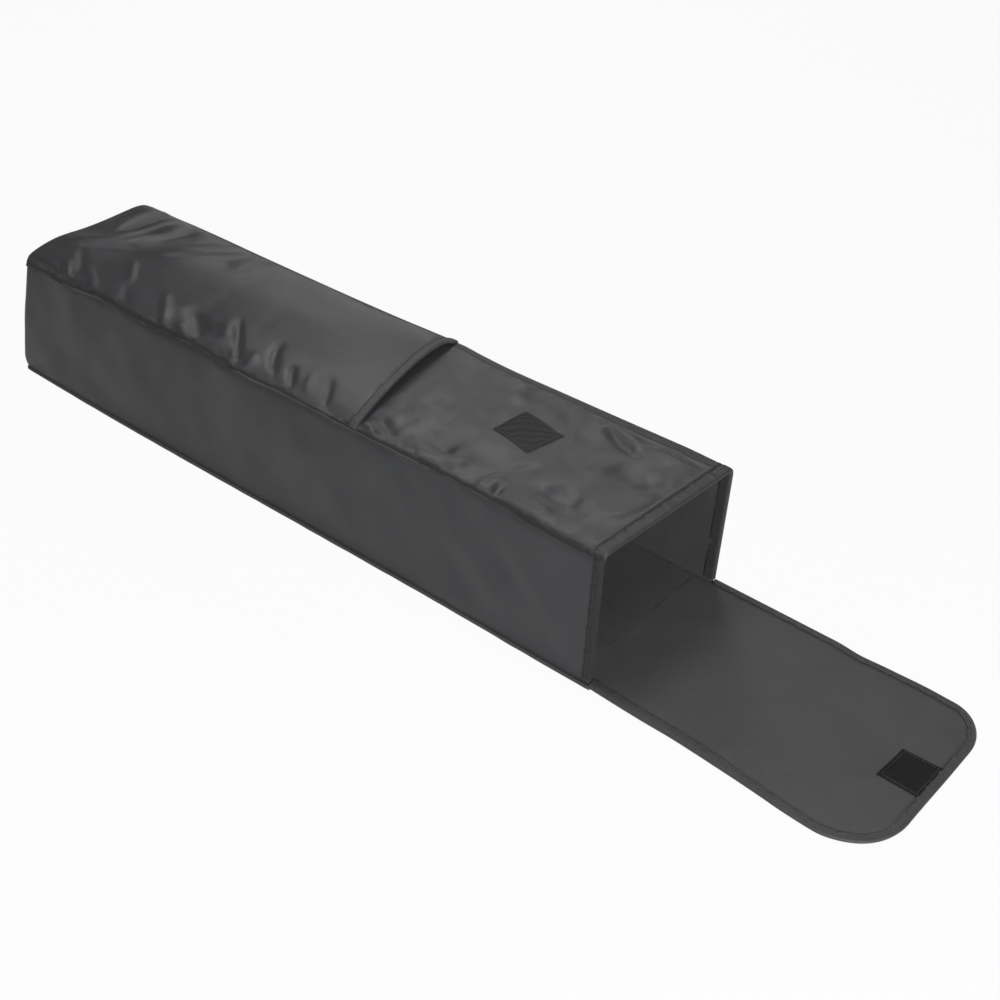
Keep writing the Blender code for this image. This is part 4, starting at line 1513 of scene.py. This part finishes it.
settle(hook_patch, "flap_tongue", "black_hook", "hook_patch")


# Stitches
def offset_path(edge, forward, outward, back, lift):
    """A seam's line: back from the edge and on the tape's outer face."""
    return edge - forward * back + outward * lift


mouth_row = stitch_row(
    "mouth_stitches",
    offset_path(edge, edge_forward, edge_outward, mouth_leg[:, None] - 0.0020, TAPE + 0.0004),
    edge_outward, THREAD_FINISH
)
settle(mouth_row, "bag", "charcoal_tape")
hem_row = stitch_row(
    "hem_stitches", offset_path(hem_edge, hem_forward, hem_up, 0.0062, TAPE + 0.0004), hem_up, THREAD_FINISH
)
settle(hem_row, "bag", "charcoal_tape")
flap_row = stitch_row(
    "flap_stitches", offset_path(flap_line, flap_forward, flap_up, FLAP_LEG - 0.0017, TAPE + 0.0003), flap_up,
    THREAD_FINISH
)
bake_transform(flap_row)


def pocket_skin(x, y):
    """Height of the pocket cloth's outer face."""
    return SEAM_Z + CLOTH + pocket_height(x, y, share_at(x)) + CLOTH


def border_row(name, surface, low, high):
    """Stitches along the far border, from low to high along the bag."""
    xs = np.arange(low, high, FINE)
    y = top_side(1, share_at(xs)) - border_width(xs)
    path = np.stack([xs, y, surface(xs, y) + 0.0002], axis=1)
    row = stitch_row(name, path, np.tile([0, 0, 1.0], (len(xs), 1)), THREAD_FINISH)
    return settle(row, "bag", "charcoal_cloth")


top_row = border_row("border_stitches", top_skin, POCKET_FAR_X + 0.006, TOP_FRONT - 0.011)
pocket_row = border_row("pocket_stitches", pocket_skin, -0.25, POCKET_FAR_X - 0.016)


def patch_row(name, corners, size, surface, lift):
    """Stitches round a patch, in from its edge."""
    half_u, half_v = (0.5 - PATCH_STITCHES / part for part in size)
    turns = [(-half_u, -half_v), (half_u, -half_v), (half_u, half_v), (-half_u, half_v), (-half_u, -half_v)]
    points = []
    for (u0, v0), (u1, v1) in zip(turns, turns[1:]):
        for share in np.linspace(0, 1, 40)[:-1]:
            points.append(patch_place(corners, lerp(u0, u1, share), lerp(v0, v1, share)))
    plan = np.array(points + points[:1])
    z = surface(plan[:, 0], plan[:, 1]) + lift
    path = np.concatenate([plan, z[:, None]], axis=1)
    upward = np.tile([0, 0, 1.0], (len(path), 1))
    return stitch_row(name, path, upward, THREAD_FINISH, 0.0030, 0.0021, 0.00028)


loop_row = patch_row("loop_stitches", LOOP_CORNERS, LOOP_SIZE, top_skin, 0.0008)
settle(loop_row, "bag", "black_loop")
hook_row = patch_row("hook_stitches", HOOK_CORNERS, HOOK_SIZE, flap_skin, 0.0010)
settle(hook_row, "flap_tongue", "black_hook")


# Room, light and camera
FLOOR_GLOW = 0.94
MIRRORED = 0.05
WORLD_LIGHT = 0.05
FLOOR_HALF = 9.0
LAMP_AIM = (0.1, 0, 0.10)
# Lamps: name, place, size in metres and watts
LAMPS = (
    ("behind", (-1.22, 1.75, 1.45), 0.8, 9),
    ("right", (1.9, -1.3, 0.9), 0.7, 50),
    ("left", (-1.2, -1.9, 1.3), 0.8, 6),
    ("over_rear", (-0.4, 0.1, 2.2), 0.8, 15),
    ("over_front", (0.8, 0, 2.0), 0.8, 6),
)


def background_share(tree, seen):
    """How white the background is: in full for the camera, less in what gloss and glass show."""
    path = add(tree, "ShaderNodeLightPath")
    beside = math_node(tree, "MAXIMUM", path.outputs["Is Glossy Ray"], path.outputs["Is Transmission Ray"])
    mirrored = math_node(tree, "MULTIPLY", beside, MIRRORED * seen)
    direct = math_node(tree, "MULTIPLY", path.outputs["Is Camera Ray"], seen)
    return math_node(tree, "MAXIMUM", direct, mirrored)


def plain_stage():
    """A pale floor and an almost white room."""
    mesh = bpy.data.meshes.new("floor")
    signs = ((-1, -1), (1, -1), (1, 1), (-1, 1))
    mesh.from_pydata([(a * FLOOR_HALF, b * FLOOR_HALF, 0) for a, b in signs], [], [(0, 1, 2, 3)])
    made, tree, shader = nodes_of("pale_floor")
    shader.inputs["Base Color"].default_value = (0.6, 0.6, 0.6, 1)
    shader.inputs["Roughness"].default_value = 0.9
    glow = add(tree, "ShaderNodeEmission")
    glow.inputs["Color"].default_value = (1, 1, 1, 1)
    glow.inputs["Strength"].default_value = 1.0
    part = background_share(tree, FLOOR_GLOW)
    mix = add(tree, "ShaderNodeMixShader")
    tree.links.new(part, mix.inputs[0])
    tree.links.new(shader.outputs[0], mix.inputs[1])
    tree.links.new(glow.outputs[0], mix.inputs[2])
    tree.links.new(mix.outputs[0], tree.nodes["Material Output"].inputs["Surface"])
    floor = link("floor", mesh, made)
    floor.location.z = -0.0002
    world = bpy.data.worlds.new("room")
    bpy.context.scene.world = world
    world.use_nodes = True
    tree = world.node_tree
    back = tree.nodes["Background"]
    back.inputs["Color"].default_value = (1, 1, 1, 1)
    seen = background_share(tree, 1 - WORLD_LIGHT)
    tree.links.new(math_node(tree, "ADD", seen, WORLD_LIGHT), back.inputs["Strength"])


def lamp(name, place, size, watts):
    light = bpy.data.lights.new(name, "AREA")
    light.shape = "DISK"
    light.size = size
    light.energy = watts
    made = bpy.data.objects.new(name, light)
    made.location = place
    made.rotation_euler = (Vector(LAMP_AIM) - Vector(place)).to_track_quat("-Z", "Y").to_euler()
    bpy.context.scene.collection.objects.link(made)


CAMERA_PLACE = Vector((1.02074, -1.07187, 1.00060))
CAMERA_AZIMUTH = math.radians(36.8808)
CAMERA_ELEVATION = math.radians(35.0202)
CAMERA_ROLL = math.radians(3.909)
CAMERA_LENS = 57.472


def studio():
    plain_stage()
    for values in LAMPS:
        lamp(*values)
    data = bpy.data.cameras.new("camera")
    data.lens = CAMERA_LENS
    camera = bpy.data.objects.new("camera", data)
    back = Vector((
        math.sin(CAMERA_AZIMUTH) * math.cos(CAMERA_ELEVATION),
        -math.cos(CAMERA_AZIMUTH) * math.cos(CAMERA_ELEVATION),
        math.sin(CAMERA_ELEVATION),
    ))
    right = (-back).cross(Vector((0, 0, 1))).normalized()
    up = right.cross(-back)
    turned = math.cos(CAMERA_ROLL) * right + math.sin(CAMERA_ROLL) * up
    over = -math.sin(CAMERA_ROLL) * right + math.cos(CAMERA_ROLL) * up
    turn = Matrix((turned, over, back)).transposed().to_4x4()
    camera.matrix_world = Matrix.Translation(CAMERA_PLACE) @ turn
    bpy.context.scene.collection.objects.link(camera)
    bpy.context.scene.camera = camera
    bpy.context.scene.view_settings.view_transform = "Standard"


studio()
